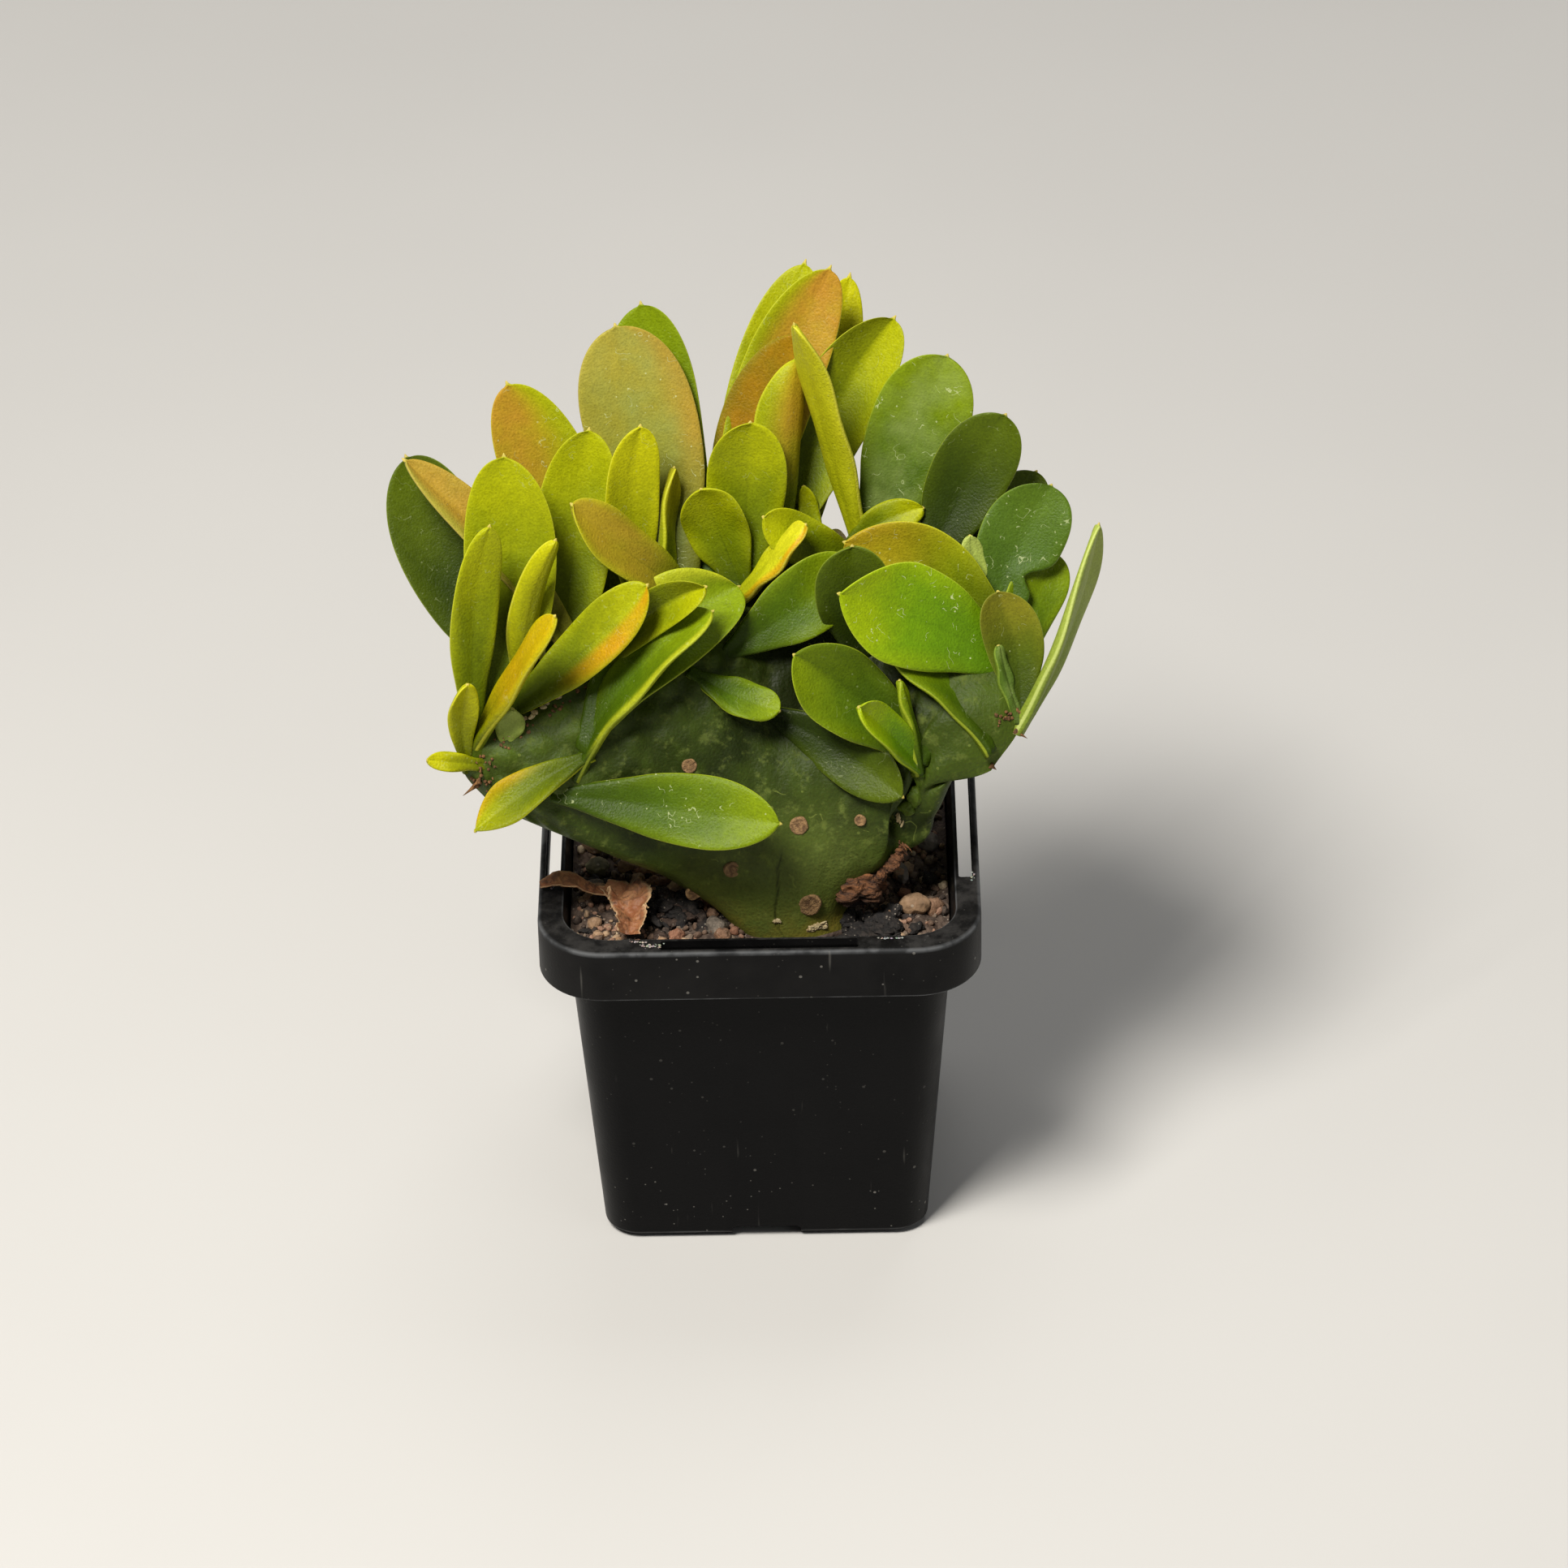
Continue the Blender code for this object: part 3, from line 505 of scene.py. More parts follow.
class SharedEffects:
    """The shader effects that more than one finish uses, each a node group that is built once."""

    def __init__(self) -> None:
        """Builds each effect."""
        self.mottling = self.build_mottling()
        self.grain = self.build_grain()
        self.specks = self.build_specks()
        self.scratches = self.build_scratches()
        self.dust = self.build_dust()

    def build_mottling(self) -> NodeTree:
        """Soft uneven patches: a value from 0 to 1 around a half."""
        graph, given, result = new_group("mottling", {"Scale": 100.0, "Contrast": 1.0}, "Value")
        patches = graph.noise(given["Scale"], 3.0, 0.55)
        spread = graph.scaled(graph.math("SUBTRACT", patches, 0.5), given["Contrast"], 0.5)
        graph.feed(result, graph.math("MINIMUM", graph.math("MAXIMUM", spread, 0.0), 1.0))
        return graph.tree

    def build_grain(self) -> NodeTree:
        """The fine pebbly skin of leaves, plastic and stone, as a height."""
        graph, given, result = new_group("fine_grain", {"Scale": 2000.0, "Pits": 0.5}, "Height")
        fine = graph.noise(given["Scale"], 2.0, 0.6)
        pits = graph.cells(given["Scale"])
        graph.feed(result, graph.scaled(pits, given["Pits"], fine))
        return graph.tree

    def build_specks(self) -> NodeTree:
        """Small scattered spots as a mask: the share of cells that hold one, and their size."""
        graph, given, result = new_group("pale_specks", {"Scale": 700.0, "Share": 0.1, "Size": 0.25}, "Mask")
        near = graph.math("LESS_THAN", graph.cells(given["Scale"]), given["Size"])
        lot = graph.part(graph.cells(given["Scale"], "Color"), "X")
        graph.feed(result, graph.math("MULTIPLY", near, graph.math("LESS_THAN", lot, given["Share"])))
        return graph.tree

    def build_scratches(self) -> NodeTree:
        """Thin broken curling lines as a mask."""
        inputs = {"Scale": 250.0, "Width": 0.012, "Share": 0.4}
        graph, given, result = new_group("curling_scratches", inputs, "Mask")
        field = graph.noise(given["Scale"], 1.5, 0.45)
        off_line = graph.math("ABSOLUTE", graph.math("SUBTRACT", field, 0.5))
        line = graph.math("LESS_THAN", off_line, given["Width"])
        patches = graph.noise(graph.math("MULTIPLY", given["Scale"], 0.7), 2.0, 0.5)
        shown = graph.math("LESS_THAN", patches, given["Share"])
        graph.feed(result, graph.math("MULTIPLY", line, shown))
        return graph.tree

    def build_dust(self) -> NodeTree:
        """Dust that settles on faces that look up, as a mask."""
        graph, given, result = new_group("settled_dust", {"Scale": 300.0, "Amount": 0.5}, "Mask")
        up = graph.part(graph.node("NewGeometry", {}).outputs["Normal"], "Z")
        lying = graph.ramp(up, 0.05, 0.9)
        patches = graph.ramp(graph.noise(given["Scale"], 5.0, 0.65), 0.38, 0.68)
        graph.feed(result, graph.multiply(lying, patches, given["Amount"]))
        return graph.tree


@dataclass(frozen=True)
class Finish(ABC):
    """A procedural material; each finish says what its shader's inputs get."""

    name: str

    @abstractmethod
    def paint(self, graph: Graph, effects: SharedEffects) -> dict[str, object]:
        """Makes the material's nodes.

        Args:
            graph: short calls for its nodes.
            effects: the effects that it may share with others.

        Returns:
            What the Principled shader's inputs get, by their names.
        """

    def build(self, effects: SharedEffects) -> Material:
        """Makes the material.

        Args:
            effects: the effects that it may share with others.

        Returns:
            The material.
        """
        made = bpy.data.materials.new(self.name)
        made.use_nodes = True
        graph = Graph(made.node_tree)
        graph.dress(made.node_tree.nodes["Principled BSDF"], self.paint(graph, effects))
        return made


@dataclass(frozen=True)
class LeafFinish(Finish):
    """The satin skin of the leaves: tints that each leaf carries, a pale rim that is partly painted
    highlight, painted shade on one half and along the midrib, specks and bloom.
    """

    name: str = "leaf_skin"
    roughness: float = 0.40
    bloom_colour: Colour = shade(140, 156, 84)
    mark_colour: Colour = shade(206, 214, 160)
    point_colour: Colour = shade(196, 176, 92)
    under_colour: Colour = shade(140, 152, 40)
    translucence: float = 0.08
    depth: float = 0.0010
    gloss: float = 0.16

    def paint(self, graph: Graph, effects: SharedEffects) -> dict[str, object]:
        """Lays root, body and tip tints, the flush, painted highlights and painted shade, bloom, rim and
        marks over each other.
        """
        along = graph.attribute("along")
        edge = graph.math("ABSOLUTE", graph.attribute("across"))
        patches = graph.use(effects.mottling, scale=150.0, contrast=1.7)
        drift = graph.scaled(graph.math("SUBTRACT", patches, 0.5), 0.24, along)
        colour = graph.mix(graph.ramp(drift, 0.05, 0.62), graph.tint("root_tint"), graph.tint("body_tint"))
        to_tip = graph.ramp(drift, 0.45, 1.02)
        to_edge = graph.multiply(graph.ramp(edge, 0.35, 1.0), graph.ramp(along, 0.1, 0.7), 0.6)
        colour = graph.cover(colour, graph.tint("tip_tint"), graph.math("MAXIMUM", to_tip, to_edge))
        # The flush is the leaf's own orange or pink; with LIT_MARGIN it is a painted highlight along a
        # margin.
        flush_and_highlight_mask = graph.use(effects.mottling, scale=120.0, contrast=2.0)
        flush_and_highlight_mask = graph.multiply(graph.attribute("flush_and_highlight"), graph.ramp(flush_and_highlight_mask, 0.0, 0.8, 0.6, 0.95))
        colour = graph.cover(colour, graph.tint("flush_and_highlight_tint"), flush_and_highlight_mask)
        # Painted shade: the dark value darkens the half of a leaf on its shaded side towards its root colour.
        dark = graph.attribute("dark")
        colour = graph.cover(colour, graph.tint("root_tint"), dark, 0.8)
        # Painted shade along the midrib's groove, in the root's colour.
        crease = graph.multiply(graph.ramp(edge, 0.0, 0.06, 1.0, 0.0), graph.ramp(along, 0.2, 0.9, 0.4, 0.0))
        colour = graph.cover(colour, graph.tint("root_tint"), crease)
        colour = graph.cover(colour, self.under_colour, graph.attribute("under"), 0.25)
        tone = graph.use(effects.mottling, scale=700.0, contrast=1.6)
        grain = graph.use(effects.grain, scale=2600.0, pits=0.5)
        light = graph.scaled(tone, 0.18, 0.80)
        light = graph.scaled(graph.math("SUBTRACT", grain, 0.75), 0.42, light)
        colour = graph.brighten(colour, light)
        veil = graph.use(effects.mottling, scale=170.0, contrast=3.2)
        veil = graph.multiply(veil, graph.attribute("bloom"), graph.ramp(edge, 0.3, 1.0, 1.0, 0.25))
        colour = graph.cover(colour, self.bloom_colour, veil, 0.8)
        # The rim's colour is partly the leaf's pale margin and partly a painted highlight where its edge
        # catches the light.
        colour = graph.cover(colour, graph.tint("pale_rim_and_highlight_tint"), graph.ramp(edge, 0.965, 0.998, 0.0, 0.6))
        marks = graph.use(effects.specks, scale=1300.0, share=0.06, size=0.20)
        curls = graph.use(effects.scratches, scale=520.0, width=0.008, share=0.40)
        marks = graph.multiply(graph.math("MAXIMUM", marks, curls), graph.attribute("marks"))
        colour = graph.cover(colour, self.mark_colour, marks, 0.6)
        colour = graph.cover(colour, self.point_colour, graph.ramp(along, 0.985, 0.992, 0.0, 0.8))
        rough = graph.scaled(tone, 0.16, self.roughness)
        height = graph.math("ADD", grain, graph.multiply(marks, 0.8))
        return {
            "Base Color": colour,
            "Roughness": graph.scaled(veil, 0.25, rough),
            "Normal": graph.bump(height, 0.5, 0.00016),
            "Subsurface Weight": self.translucence,
            "Subsurface Radius": (1.0, 0.9, 0.25),
            "Subsurface Scale": self.depth,
            "Specular IOR Level": self.gloss,
        }


@dataclass(frozen=True)
class StemFinish(Finish):
    """The dull green skin of the crested stem, with pale mottles, scratches, a stained foot and painted
    shadow in its furrows and hollow.
    """

    name: str = "stem_skin"
    deep: Colour = shade(31, 41, 5)
    shadow: Colour = shade(20, 26, 2)
    body: Colour = shade(56, 71, 13)
    pale: Colour = shade(112, 124, 54)
    fresh: Colour = shade(80, 100, 18)
    stain: Colour = shade(128, 110, 36)
    cork: Colour = shade(30, 34, 10)
    stain_levels: tuple[float, float] = (0.0660, 0.0585)
    translucence: float = 0.05
    depth: float = 0.001
    gloss: float = 0.20

    def paint(self, graph: Graph, effects: SharedEffects) -> dict[str, object]:
        """Lays mottles, painted shadow in furrows, creases and the hollow, stain, seam and scratches over the
        green.
        """
        patches = graph.use(effects.mottling, scale=150.0, contrast=3.0)
        colour = graph.mix(patches, self.deep, self.body)
        crest = graph.attribute("up")
        colour = graph.cover(colour, self.fresh, graph.ramp(crest, 0.62, 1.0, 0.0, 0.6))
        colour = graph.cover(colour, self.pale, graph.ramp(crest, 0.16, 0.5, 0.55, 0.0))
        scurf = graph.ramp(graph.noise(420.0, 5.0, 0.66), 0.52, 0.70)
        colour = graph.cover(colour, self.pale, scurf, 0.42)
        # Painted shadow: the furrow value darkens the furrows, the creases between the knobs and the hollow
        # between the lobes.
        furrow = graph.attribute("furrow")
        colour = graph.cover(colour, self.shadow, furrow, 0.85)
        level = graph.part(graph.place(), "Z")
        stained = graph.ramp(level, *self.stain_levels, 0.0, 0.75)
        stained = graph.multiply(stained, graph.use(effects.mottling, scale=260.0, contrast=2.0))
        colour = graph.cover(colour, self.stain, stained)
        colour = graph.cover(colour, self.cork, graph.attribute("seam"), 0.8)
        marks = graph.use(effects.scratches, scale=190.0, width=0.009, share=0.40)
        specks = graph.use(effects.specks, scale=800.0, share=0.05, size=0.20)
        marks = graph.math("MAXIMUM", marks, specks)
        colour = graph.cover(colour, self.pale, marks, 0.5)
        grain = graph.use(effects.grain, scale=1900.0, pits=0.6)
        colour = graph.brighten(colour, graph.scaled(grain, 0.35, 0.78))
        height = graph.scaled(graph.noise(380.0, 5.0, 0.7), 2.0, grain)
        return {
            "Base Color": colour,
            "Roughness": graph.scaled(scurf, 0.2, 0.55),
            "Normal": graph.bump(height, 0.4, 0.00024),
            "Subsurface Weight": self.translucence,
            "Subsurface Scale": self.depth,
            "Specular IOR Level": self.gloss,
        }


@dataclass(frozen=True)
class BarkFinish(Finish):
    """Dry corky or fibrous tissue, such as scars, callus, prickles and crust."""

    light: Colour
    dark: Colour
    scale: float = 700.0
    stretch: tuple[float, float, float] = (1.0, 1.0, 1.0)
    depth: float = 0.0003

    def paint(self, graph: Graph, effects: SharedEffects) -> dict[str, object]:
        """Lays pale fibres over a dark ground, paler at edges and darker in hollows."""
        fibres = graph.noise(self.scale, 5.0, 0.68, graph.stretched(self.stretch))
        colour = graph.mix(graph.ramp(fibres, 0.34, 0.66), self.dark, self.light)
        colour = graph.cover(colour, self.light, graph.attribute("edge"))
        colour = graph.cover(colour, self.dark, graph.attribute("hollow"))
        tone = graph.use(effects.mottling, scale=self.scale / 2, contrast=1.5)
        grain = graph.use(effects.grain, scale=self.scale * 3, pits=0.5)
        return {
            "Base Color": graph.brighten(colour, graph.scaled(tone, 0.5, 0.72)),
            "Roughness": graph.scaled(tone, 0.1, 0.78),
            "Normal": graph.bump(graph.scaled(fibres, 2.0, grain), 0.6, self.depth),
        }


@dataclass(frozen=True)
class PotFinish(Finish):
    """Black moulded plastic, dusty and scuffed, with pale edges and chalky deposits; the lip's film and pale
    edges are partly painted sheen.
    """

    name: str = "pot_plastic"
    black: Colour = shade(6, 6, 7)
    wear_and_sheen_colour: Colour = shade(104, 106, 108)
    dust_colour: Colour = shade(70, 68, 66)
    deposit_colour: Colour = shade(176, 172, 164)
    foot_levels: tuple[float, float] = (0.022, 0.0)
    rim_level: float = 0.054
    gloss: float = 0.09

    def paint(self, graph: Graph, effects: SharedEffects) -> dict[str, object]:
        """Lays film, wear, dust, specks and streaks over the black; the film and the wear are partly painted
        sheen.
        """
        level = graph.part(graph.place(), "Z")
        # Partly dust and partly painted sheen: a lighter film on the lip's top.
        dust_film_and_sheen = graph.ramp(level, self.rim_level, self.rim_level + 0.001, 0.03, 0.14)
        cloud = graph.use(effects.mottling, scale=90.0, contrast=2.2)
        colour = graph.mix(graph.multiply(dust_film_and_sheen, cloud), self.black, self.dust_colour)
        # Partly scuffs and partly painted sheen: paler worn edges on the lip and foot.
        wear_and_sheen = graph.attribute("edge")
        scuffed = graph.use(effects.mottling, scale=260.0, contrast=3.0)
        colour = graph.cover(colour, self.wear_and_sheen_colour, wear_and_sheen, graph.ramp(scuffed, 0.1, 0.9, 0.25, 0.85))
        dust = graph.use(effects.dust, scale=260.0, amount=0.42)
        colour = graph.cover(colour, self.dust_colour, dust)
        fine = graph.use(effects.specks, scale=620.0, share=0.06, size=0.16)
        low = graph.ramp(level, *self.foot_levels, 0.16, 1.0)
        high = graph.ramp(level, self.rim_level, self.rim_level + 0.001, 0.0, 0.5)
        fine = graph.multiply(fine, graph.math("MAXIMUM", low, high))
        tiny = graph.use(effects.specks, scale=1500.0, share=0.07, size=0.20)
        tiny = graph.multiply(tiny, graph.ramp(level, *self.foot_levels, 0.12, 0.6))
        marks = graph.math("MAXIMUM", fine, tiny)
        colour = graph.cover(colour, self.deposit_colour, marks, 0.5)
        streaks = graph.ramp(graph.noise(700.0, 2.0, 0.5, graph.stretched((1.0, 1.0, 0.06))), 0.70, 0.78)
        colour = graph.cover(colour, self.deposit_colour, streaks, cloud, 0.22)
        grain = graph.use(effects.grain, scale=2400.0, pits=0.3)
        height = graph.math("ADD", grain, graph.multiply(graph.noise(160.0, 2.0), 2.0))
        return {
            "Base Color": colour,
            "Roughness": graph.scaled(dust, 0.4, graph.scaled(cloud, 0.16, 0.34)),
            "Normal": graph.bump(height, 0.18, 0.00012),
            "Specular IOR Level": self.gloss,
        }


@dataclass(frozen=True)
class EarthFinish(Finish):
    """Grains, bark and mix: a tint that each point carries, roughened and mottled."""

    scale: float = 900.0
    depth: float = 0.0002
    roughness: float = 0.86
    dusty: float = 0.22
    fleck: Colour = shade(190, 178, 160)
    dust_colour: Colour = shade(150, 132, 116)

    def paint(self, graph: Graph, effects: SharedEffects) -> dict[str, object]:
        """Mottles and flecks the tint, and lets dust settle on it."""
        tone = graph.use(effects.mottling, scale=self.scale, contrast=1.8)
        colour = graph.brighten(graph.tint("tint"), graph.scaled(tone, 0.9, 0.55))
        pale = graph.use(effects.specks, scale=self.scale * 2.4, share=0.14, size=0.30)
        colour = graph.cover(colour, self.fleck, pale, 0.35)
        dust = graph.use(effects.dust, scale=self.scale, amount=self.dusty)
        grain = graph.use(effects.grain, scale=self.scale * 2.2, pits=0.7)
        return {
            "Base Color": graph.mix(dust, colour, self.dust_colour),
            "Roughness": graph.scaled(tone, 0.1, self.roughness - 0.05),
            "Normal": graph.bump(graph.scaled(tone, 1.5, grain), 0.6, self.depth),
        }


@dataclass(frozen=True)
class DryLeafFinish(Finish):
    """The papery skin of the dead leaf: tan and rust, darker along its veins, pale at its edges."""

    name: str = "dry_leaf_paper"
    tan: Colour = shade(168, 120, 78)
    rust: Colour = shade(122, 68, 38)
    dark: Colour = shade(58, 34, 20)
    pale: Colour = shade(204, 176, 132)
    translucence: float = 0.08
    depth: float = 0.0008

    def paint(self, graph: Graph, effects: SharedEffects) -> dict[str, object]:
        """Lays blots, veins and pale edges over rust and tan."""
        patches = graph.use(effects.mottling, scale=240.0, contrast=2.6)
        colour = graph.mix(patches, self.rust, self.tan)
        blots = graph.ramp(graph.noise(420.0, 4.0, 0.6), 0.56, 0.68)
        colour = graph.cover(colour, self.dark, blots, 0.7)
        veins = graph.use(effects.scratches, scale=330.0, width=0.03, share=0.62)
        colour = graph.cover(colour, self.dark, veins, 0.35)
        grain = graph.use(effects.grain, scale=1600.0, pits=0.5)
        height = graph.scaled(graph.noise(300.0, 4.0, 0.6), 3.0, grain)
        return {
            "Base Color": graph.mix(graph.attribute("edge"), colour, self.pale),
            "Roughness": graph.scaled(patches, 0.2, 0.55),
            "Normal": graph.bump(height, 0.6, 0.0003),
            "Subsurface Weight": self.translucence,
            "Subsurface Scale": self.depth,
        }


@dataclass(frozen=True)
class FloorFinish(Finish):
    """The plain pale floor of the studio."""

    name: str = "studio_floor"
    pale: Colour = shade(200, 198, 194)

    def paint(self, graph: Graph, effects: SharedEffects) -> dict[str, object]:
        """Clouds the pale floor very slightly."""
        cloud = graph.ramp(graph.noise(6.0, 3.0), 0.3, 0.7, 0.97, 1.0)
        return {"Base Color": graph.brighten(self.pale, cloud), "Roughness": 0.8}


@dataclass(frozen=True)
class CrestedFan:
    """The crested stem's form: a thick fan that rises from a short foot to a curling crest line.

    A place on it is (u, v): u runs along the crest from the left lobe to the right one, and v
    from the foot up to the crest. Side 1 is the front and -1 the back.
    """

    foot_centre: Vector = Vector((5.5, -17.0)) * MM
    foot_half_width: float = 0.0092
    foot_half_depth: float = 0.0072
    foot_bottom: float = 0.040
    foot_top: float = 0.060
    foot_share: float = 0.15
    half_thick: float = 0.0054
    lobe_half_thick: float = 0.0062
    furrows: int = 13
    furrow_depth: float = 0.10
    hollow_depth: float = 0.0044
    lobe_swell: float = 0.0010
    bay: Vector = Vector((-4.2, 0, 3.2)) * MM
    bay_level: float = 0.79
    bay_thinning: float = 0.5
    waist: Vector = Vector((-1.8, 0, 0)) * MM
    waist_level: float = 0.60
    foot_lean: Vector = Vector((-3.2, 0, 0)) * MM
    corner: float = 0.08
    crest_line: tuple[Point, ...] = (
        (-46, -23, 86), (-45, -22, 94), (-38, -17, 98), (-27, -10, 102), (-17, -4, 106), (-8, 2, 109),
        (1, 6, 110), (10, 8, 111), (18, 8, 112), (26, 5, 110), (34, 0, 106), (41, -7, 100),
        (42, -15, 93), (37, -19, 86),
    )
    flank_line: tuple[Point, ...] = (
        (-23, -21, 73), (-22, -20, 77), (-18, -19, 84), (-12, -18, 88), (-7, -17, 90), (-2, -16, 91),
        (2, -16, 91), (6, -16, 91), (10, -16, 91), (14, -16, 90), (18, -17, 88), (22, -18, 84),
        (24, -19, 79), (24, -20, 74),
    )

    def middle(self, u: float, v: float) -> Vector:
        """A point of the fan's middle sheet.

        Args:
            u, v: the place on the fan.

        Returns:
            The point, in metres.
        """
        foot_x = self.foot_centre.x - self.foot_half_width * cos(u * pi)
        v *= 1 - self.corner * smoothstep(0.5, 1.0, v) * hump(u, 0.0, 0.025)
        lean = self.foot_lean * (1 - 0.6 * u) * smoothstep(0.12, 0.15, v) * (1 - smoothstep(0.18, 0.44, v))
        if v <= self.foot_share:
            level = self.foot_bottom + (self.foot_top - self.foot_bottom) * v / self.foot_share
            return Vector((foot_x, self.foot_centre.y, level)) + lean
        t = (v - self.foot_share) / (1 - self.foot_share)
        start = Vector((foot_x, self.foot_centre.y, self.foot_top))
        bend = catmull(self.flank_line, u) * MM
        end = catmull(self.crest_line, u) * MM
        inward = self.bay * hump(v, self.bay_level, 0.13) * smoothstep(0.74, 1.0, u)
        inward += self.waist * hump(v, self.waist_level, 0.10) * smoothstep(0.64, 0.98, u)
        return start * (1 - t) ** 2 + bend * 2 * t * (1 - t) + end * t**2 + inward + lean

    def normal(self, u: float, v: float) -> Vector:
        """The direction that the fan's front faces at a place.

        Args:
            u, v: the place on the fan.

        Returns:
            The direction, of length 1.
        """
        step = 0.01
        along = self.middle(min(u + step, 1), v) - self.middle(max(u - step, 0), v)
        up = self.middle(u, min(v + step, 1)) - self.middle(u, max(v - step, 0))
        return along.cross(up).normalized()

    def furrow(self, u: float, v: float) -> float:
        """How deep in a furrow a place is, from 0 to 1."""
        return smoothstep(0.35, 0.80, v) * (0.5 + 0.5 * cos(tau * self.furrows * u))

    def half_thickness(self, u: float, v: float) -> float:
        """Half the fan's thickness, falling to nothing at its edge.

        Args:
            u, v: the place on the fan.

        Returns:
            The half thickness in metres.
        """
        blend = smoothstep(self.foot_share, 0.60, v)
        rise = smoothstep(0.55, 0.95, abs(2 * u - 1))
        upper = self.half_thick + (self.lobe_half_thick - self.half_thick) * rise
        body = self.foot_half_depth * (1 - blend) + upper * blend
        edge = sin(u * pi) * (1 - blend) + sqrt(max(0.0, 1 - abs(2 * u - 1) ** 6)) * blend
        crest = sqrt(max(0.0, 1 - smoothstep(0.62, 1.0, v) ** 2))
        bay = hump(v, self.bay_level, 0.15) * smoothstep(0.82, 0.96, u)
        thinned = (1 - self.furrow_depth * self.furrow(u, v)) * (1 - self.bay_thinning * bay)
        return body * edge * crest * thinned

    def press(self, u: float, v: float) -> float:
        """How far the front is sunk between the two lobes.

        Args:
            u, v: the place on the fan.

        Returns:
            The depth in metres, less than 0 where the right lobe swells.
        """
        hollow = hump(u, 0.58, 0.17) * smoothstep(0.45, 0.66, v) * (1 - smoothstep(0.90, 0.99, v))
        lobe = hump(u, 0.88, 0.05) * smoothstep(0.62, 0.84, v) * (1 - smoothstep(0.93, 1.0, v))
        return self.hollow_depth * hollow - self.lobe_swell * lobe

    def point(self, u: float, v: float, side: int = 1) -> Vector:
        """A point on the fan's skin.

        Args:
            u, v: the place on the fan.
            side: 1 for the front and -1 for the back.

        Returns:
            The point in metres.
        """
        reach = self.half_thickness(u, v) * side
        if side == 1:
            reach -= self.press(u, v)
        return self.middle(u, v) + self.normal(u, v) * reach


@dataclass(frozen=True)
class LeafPalette:
    """A leaf's colours from its root to its tip, and along its rim, which is partly its pale margin and
    partly painted highlight.
    """

    root: Colour
    body: Colour
    tip: Colour
    rim: Colour


class LeafTint(Enum):
    """The tints that the plant's leaves have."""

    DEEP = LeafPalette(shade(30, 42, 2), shade(46, 62, 3), shade(82, 98, 8), shade(136, 150, 50))
    GREEN = LeafPalette(shade(52, 72, 3), shade(74, 100, 5), shade(128, 148, 8), shade(168, 180, 50))
    BRIGHT = LeafPalette(shade(80, 116, 4), shade(104, 146, 8), shade(156, 178, 4), shade(186, 200, 60))
    LIME = LeafPalette(shade(62, 78, 2), shade(112, 126, 2), shade(170, 174, 4), shade(194, 196, 46))
    YELLOW = LeafPalette(shade(88, 98, 2), shade(142, 146, 2), shade(190, 188, 4), shade(208, 204, 60))
    LEMON = LeafPalette(shade(144, 150, 8), shade(184, 186, 22), shade(206, 202, 34), shade(212, 206, 70))
    GLAUCOUS = LeafPalette(shade(58, 82, 14), shade(72, 100, 24), shade(86, 112, 26), shade(136, 158, 60))
    OLIVE = LeafPalette(shade(52, 68, 4), shade(82, 98, 12), shade(116, 124, 24), shade(150, 158, 66))
    KHAKI = LeafPalette(shade(84, 88, 8), shade(142, 140, 44), shade(170, 158, 58), shade(178, 160, 74))
    PALE = LeafPalette(shade(120, 138, 46), shade(144, 162, 66), shade(172, 186, 90), shade(196, 206, 120))


class BlushPlace(Enum):
    """Where a leaf is flushed with orange or pink, and where painted highlights lie along lit margins."""

    NONE = 0
    WHOLE = 1
    TIP = 2
    RIGHT_BAND = 3
    RIGHT_RIM = 4
    RIGHT_TIP = 5
    RIGHT_EDGE = 6
    LEFT_RIM = 7
    LEFT_TIP = 8

    def share(self, t: float, s: float) -> float:
        """How much of the flush is at a place.

        Args:
            t: the share of the leaf's length, from its root.
            s: the place across it, from -1 to 1.

        Returns:
            The share of the flush, from 0 to 1.
        """
        band = smoothstep(0.1, 0.45, s) * (1 - 0.6 * smoothstep(0.7, 1.0, s))
        shares = {
            BlushPlace.NONE: 0.0,
            BlushPlace.WHOLE: smoothstep(0.15, 0.6, t) * (1 - 0.5 * smoothstep(0.6, 1.0, abs(s))),
            BlushPlace.TIP: smoothstep(0.45, 0.95, t),
            BlushPlace.RIGHT_BAND: band * smoothstep(0.3, 0.6, t),
            BlushPlace.RIGHT_RIM: smoothstep(0.3, 0.95, s) * smoothstep(0.3, 0.6, t),
            BlushPlace.RIGHT_TIP: smoothstep(-0.95, -0.2, s) * smoothstep(0.35, 0.75, t),
            BlushPlace.RIGHT_EDGE: smoothstep(0.66, 0.90, s) * smoothstep(0.1, 0.3, t),
            BlushPlace.LEFT_RIM: smoothstep(-0.35, -0.9, s) * smoothstep(0.35, 0.6, t),
            BlushPlace.LEFT_TIP: smoothstep(0.9, -0.2, s) * smoothstep(0.45, 0.85, t),
        }
        return shares[self]


class Apex(Enum):
    """How a leaf ends: the powers that shape its outline past the widest place."""

    ROUND = (2.3, 0.5)
    BLUNT = (2.0, 0.62)
    ACUTE = (1.7, 0.78)


# The colours of the flushes, and the painted highlight for margins that catch the light
ORANGE = shade(208, 142, 8)
PINK = shade(182, 130, 40)
TAN = shade(166, 134, 36)
BRONZE = shade(164, 116, 4)
LIT_MARGIN = shade(184, 188, 36)


